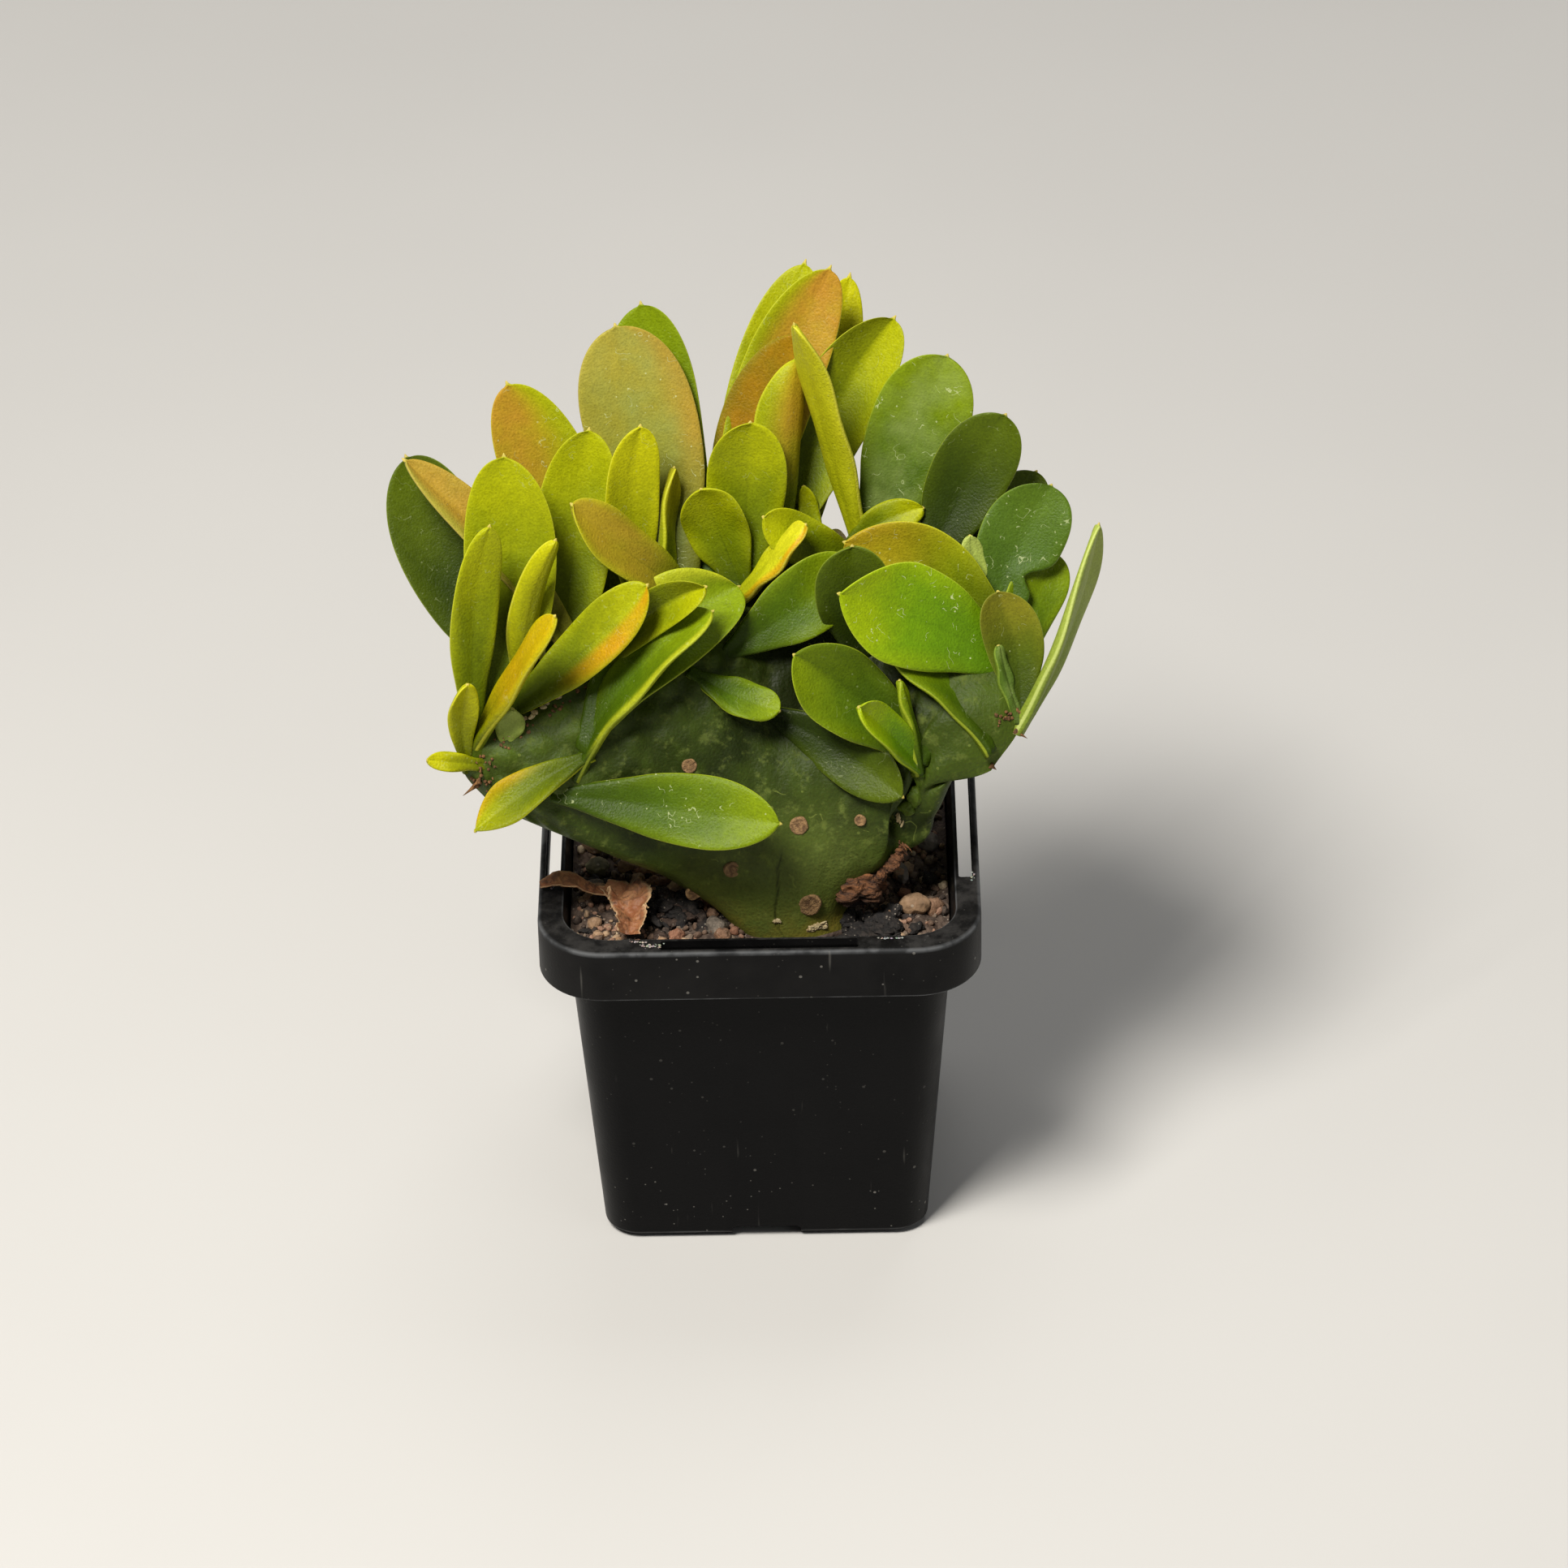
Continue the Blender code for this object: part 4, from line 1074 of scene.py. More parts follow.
@dataclass(frozen=True)
class Leaf:
    """One leaf, as in the part: where it grows on the fan, its tip, its form and its colours.

    Lengths are in millimetres and angles in degrees. The roll turns its face about its length, and
    the twist turns it further from root to tip. The bend lifts its middle, the bow moves it sideways,
    the fold raises both edges, and the curl raises the left edge near the tip. Forward moves the tip
    towards the viewer. The bite is a notch in the right edge: its place, length and depth. The shaded
    side is above 0 where painted shade darkens the right half, and below 0 for the left half.
    """

    name: str
    place: tuple[float, float]
    tip: Point
    width: float
    roll: float
    bend: float
    fold: float
    bow: float
    tint: LeafTint
    blush_place: BlushPlace = BlushPlace.NONE
    flush_and_highlight: float = 0.0
    flush_and_highlight_tint: Colour = ORANGE
    marks: float = 0.2
    bloom: float = 0.0
    apex: Apex = Apex.ROUND
    shaded_side: float = 0.0
    forward: float = 0.0
    twist: float = 0.0
    bite: tuple[float, float, float] = (0.0, 0.0, 0.0)
    curl: float = 0.0


DEEP, GREEN, BRIGHT, LIME, YELLOW, LEMON, GLAUCOUS, OLIVE, KHAKI, PALE = LeafTint
WHOLE, TIP, RIGHT_BAND, RIGHT_RIM, RIGHT_TIP, RIGHT_EDGE, LEFT_RIM, LEFT_TIP = list(BlushPlace)[1:]

LEFT_LEAVES = (
    Leaf("left_outer", (0.18, 1.06), (-54, 7, 130), 15.0, 0, -2.0, 0.25, -2.0, DEEP),
    Leaf("left_orange_back", (0.22, 1.10), (-54, 1, 133), 7.6, 34, 3.5, 0.6, 0.6, KHAKI,
         RIGHT_TIP, 0.6, PINK),
    Leaf("left_tall", (0.11, 1.03), (-38, -3, 136), 14.4, 0, -1.5, 0.25, 2.0, LIME),
    Leaf("left_narrow", (0.09, 0.98), (-40, -14, 130), 7.6, 22, -2.0, 0.2, -1.4, LIME,
         shaded_side=0.2),
    Leaf("left_second", (0.20, 1.06), (-25, 6, 135), 12.5, 0, -2.0, 0.3, -1.0, LIME),
    Leaf("left_blush", (0.26, 1.12), (-38, 12, 140), 14.0, 0, -2.0, 0.2, 0.8, LIME,
         LEFT_TIP, 0.9, PINK, 0.5),
    Leaf("left_third", (0.31, 1.00), (-17, 5, 136), 8.8, 15, -1.5, 0.3, -1.8, YELLOW),
    Leaf("left_sliver", (0.34, 1.02), (-12, 7, 127), 5.5, 70, -1.0, 0.3, -0.5, LIME,
         TIP, 0.4, TAN),
    Leaf("left_pointing_blush", (0.37, 0.98), (-28, -5, 128), 9.0, 25, 1.5, 0.3, -2.0, LIME,
         WHOLE, 0.85, TAN),
    Leaf("left_front_broad", (0.18, 0.80), (-2, 0, 109), 15.0, -18, 2.5, 0.3, -3.0, GREEN,
         LEFT_RIM, 1.0, LIT_MARGIN, forward=4.0, curl=1.0),
    Leaf("left_front_long", (0.155, 1.00), (-16, -10, 116), 8.8, -8, 0.0, 0.3, 1.0, LIME,
         RIGHT_BAND, 0.8, forward=5.0),
    Leaf("left_front_orange", (0.088, 0.985), (-30, -20, 117), 6.2, -54, -0.2, 0.1, -1.0, YELLOW,
         WHOLE, 0.5, forward=6.0),
    Leaf("left_front_edge", (0.15, 0.76), (-6, -10, 111), 9.6, -46, 2.5, 0.3, -1.6, GREEN,
         RIGHT_EDGE, 0.8, LIT_MARGIN, forward=4.5),
    Leaf("left_folded", (0.23, 0.93), (-7, -8, 114), 7.0, -5, -0.5, 0.8, -2.4, LIME,
         shaded_side=-0.6, forward=7.0),
    Leaf("left_two_tone", (0.17, 1.02), (-30, -15, 128), 5.4, 34, -2.0, -0.5, -2.0, YELLOW,
         forward=-2.0, shaded_side=0.4),
    Leaf("left_low_small", (0.07, 0.99), (-44, -22, 106), 4.8, 20, -0.6, 0.4, -0.8, YELLOW, forward=3.0),
    Leaf("left_stub", (0.125, 0.955), (-37.5, -20, 100), 4.8, 10, 0.0, 0.1, 0.0, PALE,
         apex=Apex.ACUTE, bloom=0.6),
    Leaf("left_low_tiny", (0.06, 0.98), (-51, -25, 94), 3.2, 0, 0.4, 0.3, 0.0, YELLOW),
    Leaf("left_drooping", (0.14, 0.78), (-44, -29, 83), 7.2, 20, 1.5, 0.4, 0.4, LIME,
         RIGHT_RIM, 0.5, shaded_side=-0.4, apex=Apex.ACUTE),
)
CROWN_LEAVES = (
    Leaf("top_left_pale", (0.36, 1.00), (-21, 19, 146), 18.0, 0, -2.0, 0.12, 0.0, KHAKI,
         RIGHT_RIM, 0.5, PINK, 0.8, 0.45),
    Leaf("top_left_behind", (0.39, 1.05), (-17, 24, 147), 15.0, -10, -2.0, 0.2, -2.4, GREEN),
    Leaf("top_edge_on", (0.61, 0.97), (7, 8, 152), 9.2, -62, -2.7, -0.1, -3.6, LEMON, twist=-16.0),
    Leaf("top_tan_folded", (0.495, 1.02), (7.2, 12, 144), 9.2, 42, -0.4, -0.75, -1.2, LIME,
         RIGHT_TIP, 0.7, PINK, forward=-5.5),
    Leaf("top_orange_left", (0.42, 1.02), (8.0, 19, 144), 12.4, -16, -2.5, 0.2, -3.4, OLIVE,
         WHOLE, 0.9, BRONZE, forward=-2.0),
    Leaf("top_blush_right", (0.43, 1.08), (13, 29, 150), 13.0, 0, -2.0, 0.25, -3.4, LIME,
         RIGHT_TIP, 1.0, PINK),
    Leaf("top_back_tall", (0.40, 1.14), (9, 38, 146), 12.0, -10, -2.0, 0.3, -2.0, LIME),
    Leaf("top_back_tip", (0.49, 1.14), (16, 37, 144), 9.0, 10, -2.0, 0.3, 0.5, YELLOW),
    Leaf("top_right_yellow", (0.475, 1.06), (23, 25, 143), 13.0, 0, -2.6, 0.5, -2.8, LIME,
         shaded_side=-0.6),
)
MIDDLE_LEAVES = (
    Leaf("middle_upright", (0.44, 0.96), (0, 13, 131), 12.6, 0, -1.5, 0.25, -0.4, LIME,
         forward=6.0),
    Leaf("middle_short", (0.43, 0.96), (-8, 5, 124), 10.2, -15, -1.5, 0.3, -0.3, LIME,
         forward=2.0),
    Leaf("middle_broad_olive", (0.41, 0.81), (16.5, 0, 113), 11.5, 8, 1.5, 0.3, 0.0, GREEN, forward=1.0),
    Leaf("middle_narrow_orange", (0.43, 0.92), (8.5, 5, 117), 6.4, -58, 0.2, 0.0, 0.2, LEMON,
         RIGHT_EDGE, 0.8, forward=6.0),
    Leaf("middle_level", (0.61, 0.96), (1.5, 3, 120), 8.0, 0, 0.6, 0.3, -1.2, LIME),
    Leaf("middle_tiny", (0.54, 1.00), (8, 12, 120), 3.2, 0, -0.5, 0.4, 0.0, LIME),
    Leaf("ridge_small_right", (0.60, 0.98), (27, 8, 118), 5.5, 0, 0.5, 0.3, -1.5, LIME),
    Leaf("front_level", (0.10, 0.74), (4, -31, 85), 11.6, 0, -1.0, 0.2, -0.3, GREEN,
         marks=0.7, apex=Apex.BLUNT),
    Leaf("hollow_small", (0.34, 0.77), (4, -16, 96), 6.4, -20, -0.5, 0.3, 0.6, GREEN),
    Leaf("front_middle_low", (0.47, 0.62), (23, -23, 84), 9.6, 10, -1.0, 0.2, -1.0, DEEP,
         apex=Apex.BLUNT),
    Leaf("right_shaded", (0.65, 0.77), (15.5, -2, 117.5), 12.0, 0, 1.0, 0.2, -0.6, DEEP, forward=4.0),
)
RIGHT_LEAVES = (
    Leaf("right_front_broad", (0.85, 0.97), (13, -9, 113), 16.5, 0, -1.0, 0.15, 1.2, BRIGHT,
         marks=1.0, apex=Apex.ACUTE, forward=6.0),
    Leaf("right_front_upper", (0.83, 0.98), (14, 0, 117), 15.0, -10, -1.5, 0.2, 2.6, LIME,
         TIP, 0.6, PINK, 0.8, apex=Apex.BLUNT),
    Leaf("right_bloom_tall", (0.62, 1.00), (31, 18, 140), 15.4, 0, -1.5, 0.15, 0.0, GREEN,
         marks=0.7, bloom=0.6),
    Leaf("right_bloom_second", (0.71, 1.00), (40, 13, 132), 12.6, 0, -1.5, 0.25, -1.0, DEEP),
    Leaf("right_behind", (0.78, 1.05), (45, 17, 119), 11.0, 10, -1.5, 0.25, -1.0, DEEP),
    Leaf("right_notched", (0.81, 1.00), (47, 8, 122), 13.4, 0, -1.0, 0.2, -1.5, GLAUCOUS,
         marks=0.6, bite=(0.44, 0.07, 0.55)),
    Leaf("right_dark", (0.86, 1.04), (48, 5, 111), 9.5, 20, -1.0, 0.25, -1.0, GREEN),
    Leaf("right_outer_edge", (0.92, 1.00), (54, -2, 121), 7.6, 72, 1.4, 0.2, 0.4, PALE),
    Leaf("right_olive", (0.90, 0.98), (38, -7, 112), 9.4, 0, -1.0, 0.4, 1.2, OLIVE,
         TIP, 0.3, TAN, 0.4, shaded_side=-0.4),
    Leaf("right_small_pale", (0.78, 0.98), (34, 3, 116), 4.4, 15, -1.0, 0.3, 0.6, PALE),
    Leaf("right_front_dark", (0.84, 0.67), (6, -15, 106), 13.0, 6, -1.0, 0.3, 0.3, GREEN,
         shaded_side=0.7, apex=Apex.BLUNT, forward=1.0),
    Leaf("right_front_folded", (0.92, 0.70), (16, -21, 100), 6.4, 38, 0.6, 0.6, 0.4, BRIGHT, forward=3.0),
    Leaf("right_lower_behind", (0.93, 0.88), (20, -6, 102), 9.0, 46, 1.0, 0.2, 2.0, GREEN, forward=4.0),
    Leaf("right_small_front", (0.90, 0.97), (38, -11, 104.5), 2.6, 40, -0.5, 0.2, 0.0, GLAUCOUS,
         bloom=0.6),
    Leaf("right_thin_front", (0.88, 0.69), (22.5, -15, 101), 2.8, 72, 0.2, 0.1, 0.0, GREEN),
)


@dataclass(frozen=True)
class Foliage:
    """The plant's leaves: thick blades with a narrow root, a rounded end and a small pale point."""

    fan: CrestedFan
    finish: Material
    around: int = 44
    lower_stations: int = 18
    upper_stations: int = 20
    widest: float = 0.66
    blade_end: float = 0.985
    sunk: float = 0.0030
    level_share: float = 0.4
    least_half: float = 0.0011
    outline: Table = (
        (0.0, 0.20), (0.10, 0.32), (0.20, 0.49), (0.32, 0.68), (0.43, 0.86), (0.54, 0.96), (0.66, 1.0)
    )
    thickness: Table = (
        (0.0, 1.20), (0.20, 1.05), (0.43, 0.95), (0.66, 0.85), (0.85, 0.65), (0.96, 0.5), (1.0, 0.3)
    )
    point_half: float = 0.00034
    point_rings: Table = ((0.988, 1.0), (0.994, 0.62), (1.0, 0.20))
    groove: float = 0.00016
    ripple: float = 0.00035

    def stations(self) -> Iterator[tuple[float, float]]:
        """Where the rings stand.

        Returns:
            The share of the leaf's length and the share of its rounded end, for each ring.
        """
        for i in range(self.lower_stations):
            yield self.widest * i / self.lower_stations, 0.0
        for i in range(self.upper_stations):
            x = sin(pi / 2 * i / self.upper_stations)
            yield self.widest + (self.blade_end - self.widest) * x, x

    def half_width(self, leaf: Leaf, t: float, x: float, s: float) -> float:
        """Half the blade's width at a station, in metres; s is the place across it, from -1 to 1.

        Args:
            leaf: the leaf.
            t: the share of its length.
            x: the share of its rounded end.
            s: the place across it, from -1 to 1.

        Returns:
            Half the width in metres.
        """
        half = leaf.width / 2 * MM
        if x > 0:
            first, second = leaf.apex.value
            share = (1 - x**first) ** second
        else:
            share = catmull_value(self.outline, t)
        place, length, depth = leaf.bite
        if depth and s > 0:
            share *= 1 - depth * hump(t, place, length)
        return max(half * share, self.least_half if t < self.widest else self.point_half)

    def axis(self, leaf: Leaf) -> tuple[Callable[[float], Vector], Vector, Vector]:
        """The leaf's middle line as a function, its face's direction and its direction across.

        Args:
            leaf: the leaf.

        Returns:
            The line, the face's direction and the direction across.
        """
        u, v = leaf.place
        side = 1 if v <= 1 else -1
        skin = self.fan.point(u, v if v <= 1 else 2 - v, side)
        tip = Vector(leaf.tip) * MM + FACING * leaf.forward * MM
        root = skin - (tip - skin).normalized() * self.sunk
        along = (tip - root).normalized()
        face = (FACING - along * FACING.dot(along)).normalized()
        across = along.cross(face)
        spin = Quaternion(along, radians(leaf.roll))
        face = spin @ face
        across = spin @ across
        control = (root + tip) / 2 + face * leaf.bend * 2 * MM + across * leaf.bow * 2 * MM

        def middle(t: float) -> Vector:
            """The line's point at a share of its length."""
            return root * (1 - t) ** 2 + control * 2 * t * (1 - t) + tip * t**2

        return middle, face, across

    def add_leaf(self, skin: Skin, leaf: Leaf, seed: int) -> None:
        """Adds one leaf to a skin.

        Args:
            skin: the mesh that it goes into.
            leaf: the leaf.
            seed: what sets its ripples.
        """
        middle, flat_face, flat_across = self.axis(leaf)
        along = (middle(1.0) - middle(0.0)).normalized()
        draw = random.Random(seed)
        phase = draw.uniform(0, tau)
        waves = draw.uniform(1.6, 2.6)
        crease = 1.4 if leaf.fold > 0.5 else 2.0
        palette: LeafPalette = leaf.tint.value
        tints = {
            "root_tint": palette.root,
            "body_tint": palette.body,
            "tip_tint": palette.tip,
            "pale_rim_and_highlight_tint": palette.rim,
            "flush_and_highlight_tint": leaf.flush_and_highlight_tint,
            "marks": leaf.marks,
            "bloom": leaf.bloom,
        }
        rings = []
        for t, x in self.stations():
            centre = middle(t)
            thick = between(self.thickness, t) * MM
            ring = []
            spin = Quaternion(along, radians(leaf.twist * (t - 0.5)))
            face, across = spin @ flat_face, spin @ flat_across
            for s, rise in circle(self.around):
                half = self.half_width(leaf, t, x, s)
                body = min(thick, half) * (1 - abs(s) ** 4) ** 0.5 * copysign(1.0, rise)
                lift = leaf.fold * half * (abs(s) ** crease - self.level_share)
                lift += leaf.curl * half * 0.5 * smoothstep(0.5, 0.9, t) * smoothstep(0.0, -1.0, s)
                wave = sin(tau * waves * t + phase + 1.3 * s)
                wave *= self.ripple * abs(s) ** 2 * smoothstep(0.1, 0.4, t)
                wave -= self.groove * hump(s, 0.0, 0.16) * smoothstep(0.05, 0.2, t)
                point = centre + across * s * half + face * (lift + body + wave)
                point += face * self.ripple * 0.7 * rumple(centre + across * s * half, 90.0, seed)
                # Painted shade: the half on the leaf's shaded side gets the dark value.
                darker = smoothstep(-0.05, 0.12, s * copysign(1.0, leaf.shaded_side))
                values = {
                    "under": 0.0 if rise >= 0 else 1.0,
                    "flush_and_highlight": leaf.flush_and_highlight * leaf.blush_place.share(t, s),
                    "dark": abs(leaf.shaded_side) * darker,
                }
                ring.append(skin.add(point, along=t, across=s, **values, **tints))
            rings.append(ring)
        plain = {"across": 0.0, "under": 0.0, "flush_and_highlight": 0.0, "dark": 0.0}
        for t, share in self.point_rings:
            centre = middle(t) - face * leaf.fold * self.point_half * self.level_share
            half = self.point_half * share
            sides = across * half, face * half * 0.8
            rings.append(skin.loop(centre, *sides, self.around, along=t, **plain, **tints))
        skin.tube(rings)

    def back_leaves(self) -> Iterator[Leaf]:
        """Works out the leaves behind the crest, by the part's rule.

        Returns:
            A row that leans away, and then a lower row.
        """
        draw = random.Random(7)
        back_row = (
            (0.16, 13, 14, -5),
            (0.20, 14, 18, -6),
            (0.27, 10, 20, -7),
            (0.34, 15, 17, -6),
            (0.43, 14, 20, -4),
            (0.50, 3, 24, 0),
            (0.57, 2, 23, 4),
            (0.65, 10, 21, 7),
            (0.73, 13, 17, 8),
            (0.81, 14, 14, 10),
        )
        tints = (LIME, YELLOW, GREEN, BRIGHT)
        for i, (u, up, away, out) in enumerate(back_row):
            root = self.fan.point(u, 0.95, -1)
            tip = root / MM + CREST_LEAN * up - FACING * away + Vector((out, 0, 0))
            shape = draw.uniform(11, 13.5), draw.uniform(-20, 20), draw.uniform(-2, -1)
            tint = tints[i % 4] if u < 0.55 else (GREEN, GLAUCOUS)[i % 2]
            yield Leaf(f"back_{i}", (u, 1.05), tip, *shape, 0.25, 0.0, tint, TIP, 0.6 if i % 3 == 0 else 0.0)
        low_leaves, low_root, spread = 9, 0.80, 22
        for i in range(low_leaves):
            u = 0.12 + (0.88 - 0.12) * (i + 0.5) / low_leaves
            root = self.fan.point(u, low_root, -1)
            sideways = Vector((spread * (u - 0.5) + draw.uniform(-3, 3), 0, 0))
            tip = root / MM + CREST_LEAN * draw.uniform(2, 7) - FACING * draw.uniform(20, 26) + sideways
            shape = draw.uniform(9, 12), draw.uniform(-25, 25), draw.uniform(0.5, 1.5)
            tint = (GREEN, DEEP, LIME)[i % 3]
            yield Leaf(f"low_back_{i}", (u, 2 - low_root), tip, *shape, 0.25, 0.0, tint)

    def build(self, name: str, leaves: Iterable[Leaf], seed: int) -> None:
        """Makes one piece out of a group of leaves.

        Args:
            name: the piece's name.
            leaves: the leaves that it is made of.
            seed: what sets the first leaf's ripples.
        """
        skin = Skin()
        for i, leaf in enumerate(leaves):
            LOG.debug("leaf %s", leaf.name)
            self.add_leaf(skin, leaf, seed + i)
        piece(name, skin, self.finish, "plant", "crested_plant")


def catmull_value(points: Table, x: float) -> float:
    """Reads a table of (place, value) pairs at x, smoothly between its rows.

    Args:
        points: the table.
        x: the place that is read.

    Returns:
        The value there.
    """
    for i, (low, high) in enumerate(zip(points, points[1:])):
        if x <= high[0]:
            break
    before = points[i - 1] if i else low
    after = points[i + 2] if i + 2 < len(points) else high
    span = high[0] - low[0]
    f = min(max((x - low[0]) / span, 0.0), 1.0)
    start = (high[1] - before[1]) / (high[0] - before[0]) * span
    end = (after[1] - low[1]) / (after[0] - low[0]) * span
    if after is high:
        end = 0.0
    a = 2 * f**3 - 3 * f**2 + 1
    b = f**3 - 2 * f**2 + f
    c = 3 * f**2 - 2 * f**3
    d = f**3 - f**2
    return a * low[1] + b * start + c * high[1] + d * end


@dataclass(frozen=True)
class Scar:
    """A round leaf scar on the stem's front: its place on the fan and its radius in millimetres."""

    u: float
    v: float
    radius: float


@dataclass(frozen=True)
class Stem:
    """The crested stem with its scars, seam, crust, callus, prickles and old stubs."""

    fan: CrestedFan
    effects: SharedEffects
    across: int = 220
    foot_steps: int = 10
    upward: int = 76
    scars: tuple[Scar, ...] = (
        Scar(0.54, 0.38, 1.4),
        Scar(0.77, 0.42, 0.9),
        Scar(0.28, 0.30, 1.3),
        Scar(0.645, 0.20, 1.8),
        Scar(0.06, 0.26, 1.2),
        Scar(0.26, 0.60, 1.1),
    )
    stubs: tuple[tuple[float, float, Point], ...] = (
        (0.975, 0.76, (1.2, 1.2, 2.2)),
        (0.99, 0.72, (1.5, 1.4, 1.9)),
        (0.985, 0.67, (1.5, 1.4, 1.5)),
    )
    crust_spots: tuple[tuple[float, float, float, int], ...] = (
        (0.74, 0.146, 0.4, 8),
        (0.70, 0.146, 0.4, 8),
        (0.66, 0.146, 0.4, 6),
        (0.485, 0.168, 0.25, 3),
        (0.175, 0.955, 0.9, 12),
        (0.13, 0.945, 0.3, 4),
        (0.985, 0.625, 0.35, 6),
        (0.49, 0.60, 0.3, 5),
    )
    spines: tuple[Point, ...] = (
        (0.91, 0.98, 1.4), (0.94, 0.995, 2.0), (0.99, 0.985, 1.0), (0.03, 0.98, 2.6), (0.04, 0.96, 1.4)
    )
    knob_columns: int = 26
    knob_rows: int = 13
    knob_height: float = 0.0013
    seam_place: float = 0.485
    scar_steps: int = 36
    scar_profile: Table = (
        (1.04, -0.6), (1.05, 0.06), (0.97, 0.20), (0.86, 0.24), (0.68, 0.15), (0.42, 0.13), (0.16, 0.15)
    )
    flakes: int = 30
    fibres: int = 140
    prickles: int = 150
    crest_dots: int = 70
    callus_centre: Vector = Vector((15.2, -19.4, 64.8)) * MM
    callus_size: tuple[float, float, float] = (4.6 * MM, 3.2 * MM, 3.2 * MM)

    def knob(self, u: float, v: float) -> float:
        """How much of a knob is at a place, from 0 to 1; they stand in staggered columns near the crest.

        Args:
            u, v: the place on the fan.

        Returns:
            Its share, from 0 to 1.
        """
        column = self.knob_columns * u
        staggered = self.knob_rows * v + 0.5 * (floor(column) % 2)
        across = sin(pi * column) ** 2
        smooth_lobe = smoothstep(0.76, 0.86, u)
        upward = 0.5 + 0.5 * cos(tau * staggered)
        return (1 - smooth_lobe) * smoothstep(0.55, 0.85, v) * across * upward

    def relief(self, u: float, v: float, place: Vector) -> float:
        """How far the skin swells or sinks at a place, in metres.

        Args:
            u, v: the place on the fan.
            place: the same place in metres.

        Returns:
            The height in metres.
        """
        grown = smoothstep(0.16, 0.35, v)
        swell = 0.00060 * rumple(place, 110.0, 3.0) + 0.00020 * rumple(place, 330.0, 8.0)
        swell += self.knob_height * self.knob(u, v) * (0.6 + 0.8 * rumple(place, 60.0, 5.0))
        swell += 0.00005 * rumple(place, 900.0, 1.0)
        return swell * (0.3 + 0.7 * grown)

    def skin_point(self, u: float, v: float) -> Vector:
        """A point on the stem's front skin, with its relief."""
        return self.fan.point(u, v) + self.fan.normal(u, v) * self.relief(u, v, self.fan.middle(u, v))

    def seam(self, u: float, v: float) -> float:
        """How much of the corky seam is at a place on the front.

        Args:
            u, v: the place on the fan.

        Returns:
            Its share, from 0 to 1.
        """
        wander = 0.006 * sin(60 * v) + 0.004 * sin(171 * v)
        line = hump(u - wander, self.seam_place, 0.005)
        return line * smoothstep(0.12, 0.16, v) * (1 - smoothstep(0.30, 0.34, v))

    def build_stem(self) -> None:
        """Makes the stem: a front and a back sheet that share their edge."""
        us = [0.5 - 0.5 * cos(pi * i / self.across) for i in range(self.across + 1)]
        share = self.fan.foot_share
        vs = [share * j / self.foot_steps for j in range(self.foot_steps)]
        vs += [share + (1 - share) * sin(pi / 2 * j / self.upward) for j in range(self.upward + 1)]
        skin = Skin()
        front: dict[tuple[int, int], int] = {}
        back: dict[tuple[int, int], int] = {}
        top = len(vs) - 1
        for j, v in enumerate(vs):
            for i, u in enumerate(us):
                middle = self.fan.middle(u, v)
                on_edge = i in (0, self.across) or j == top
                # Painted shade: the hollow between the lobes and the creases near the crest go into the
                # furrow value, which the stem's finish darkens.
                hollow = smoothstep(0.1, 0.8, self.fan.press(u, v) / self.fan.hollow_depth)
                crease = 0.5 * smoothstep(0.62, 0.86, v) * (1 - smoothstep(0.0, 0.35, self.knob(u, v)))
                crease *= 1 - 0.7 * smoothstep(0.76, 0.86, u)
                shade_share = max(self.fan.furrow(u, v) * 0.3, crease, hollow)
                values = {"up": v, "furrow": shade_share}
                if on_edge:
                    front[i, j] = back[i, j] = skin.add(middle, seam=0.0, **values)
                    continue
                out = self.fan.normal(u, v)
                half = self.fan.half_thickness(u, v)
                fade = smoothstep(0.0, 0.0025, half)
                cut = self.seam(u, v)
                sunk = self.fan.press(u, v) + 0.00025 * cut
                place = middle + out * (half - sunk + fade * self.relief(u, v, middle))
                front[i, j] = skin.add(place, seam=cut, **values)
                place = middle - out * (half + fade * self.relief(u, v + 2, middle))
                back[i, j] = skin.add(place, seam=0.0, **values)
        for j in range(top):
            for i in range(self.across):
                for sheet, order in ((front, 1), (back, -1)):
                    corners = [sheet[i, j], sheet[i + 1, j], sheet[i + 1, j + 1], sheet[i, j + 1]][::order]
                    skin.faces.append(tuple(dict.fromkeys(corners)))
        for u, v, size in self.stubs:
            ball = Ball(tuple(half * MM for half in size), 0.25, 1.2, 0.1, 4, 40 * u)
            skin.lump(ball, self.skin_point(u, v), Quaternion(), up=1.0, furrow=0.0, seam=0.0)
        rim = [front[i, 0] for i in range(self.across + 1)]
        rim += [back[i, 0] for i in range(self.across - 1, 0, -1)]
        skin.faces.append(tuple(rim[::-1]))
        piece("crested_stem", skin, StemFinish().build(self.effects), "plant", "crested_plant")

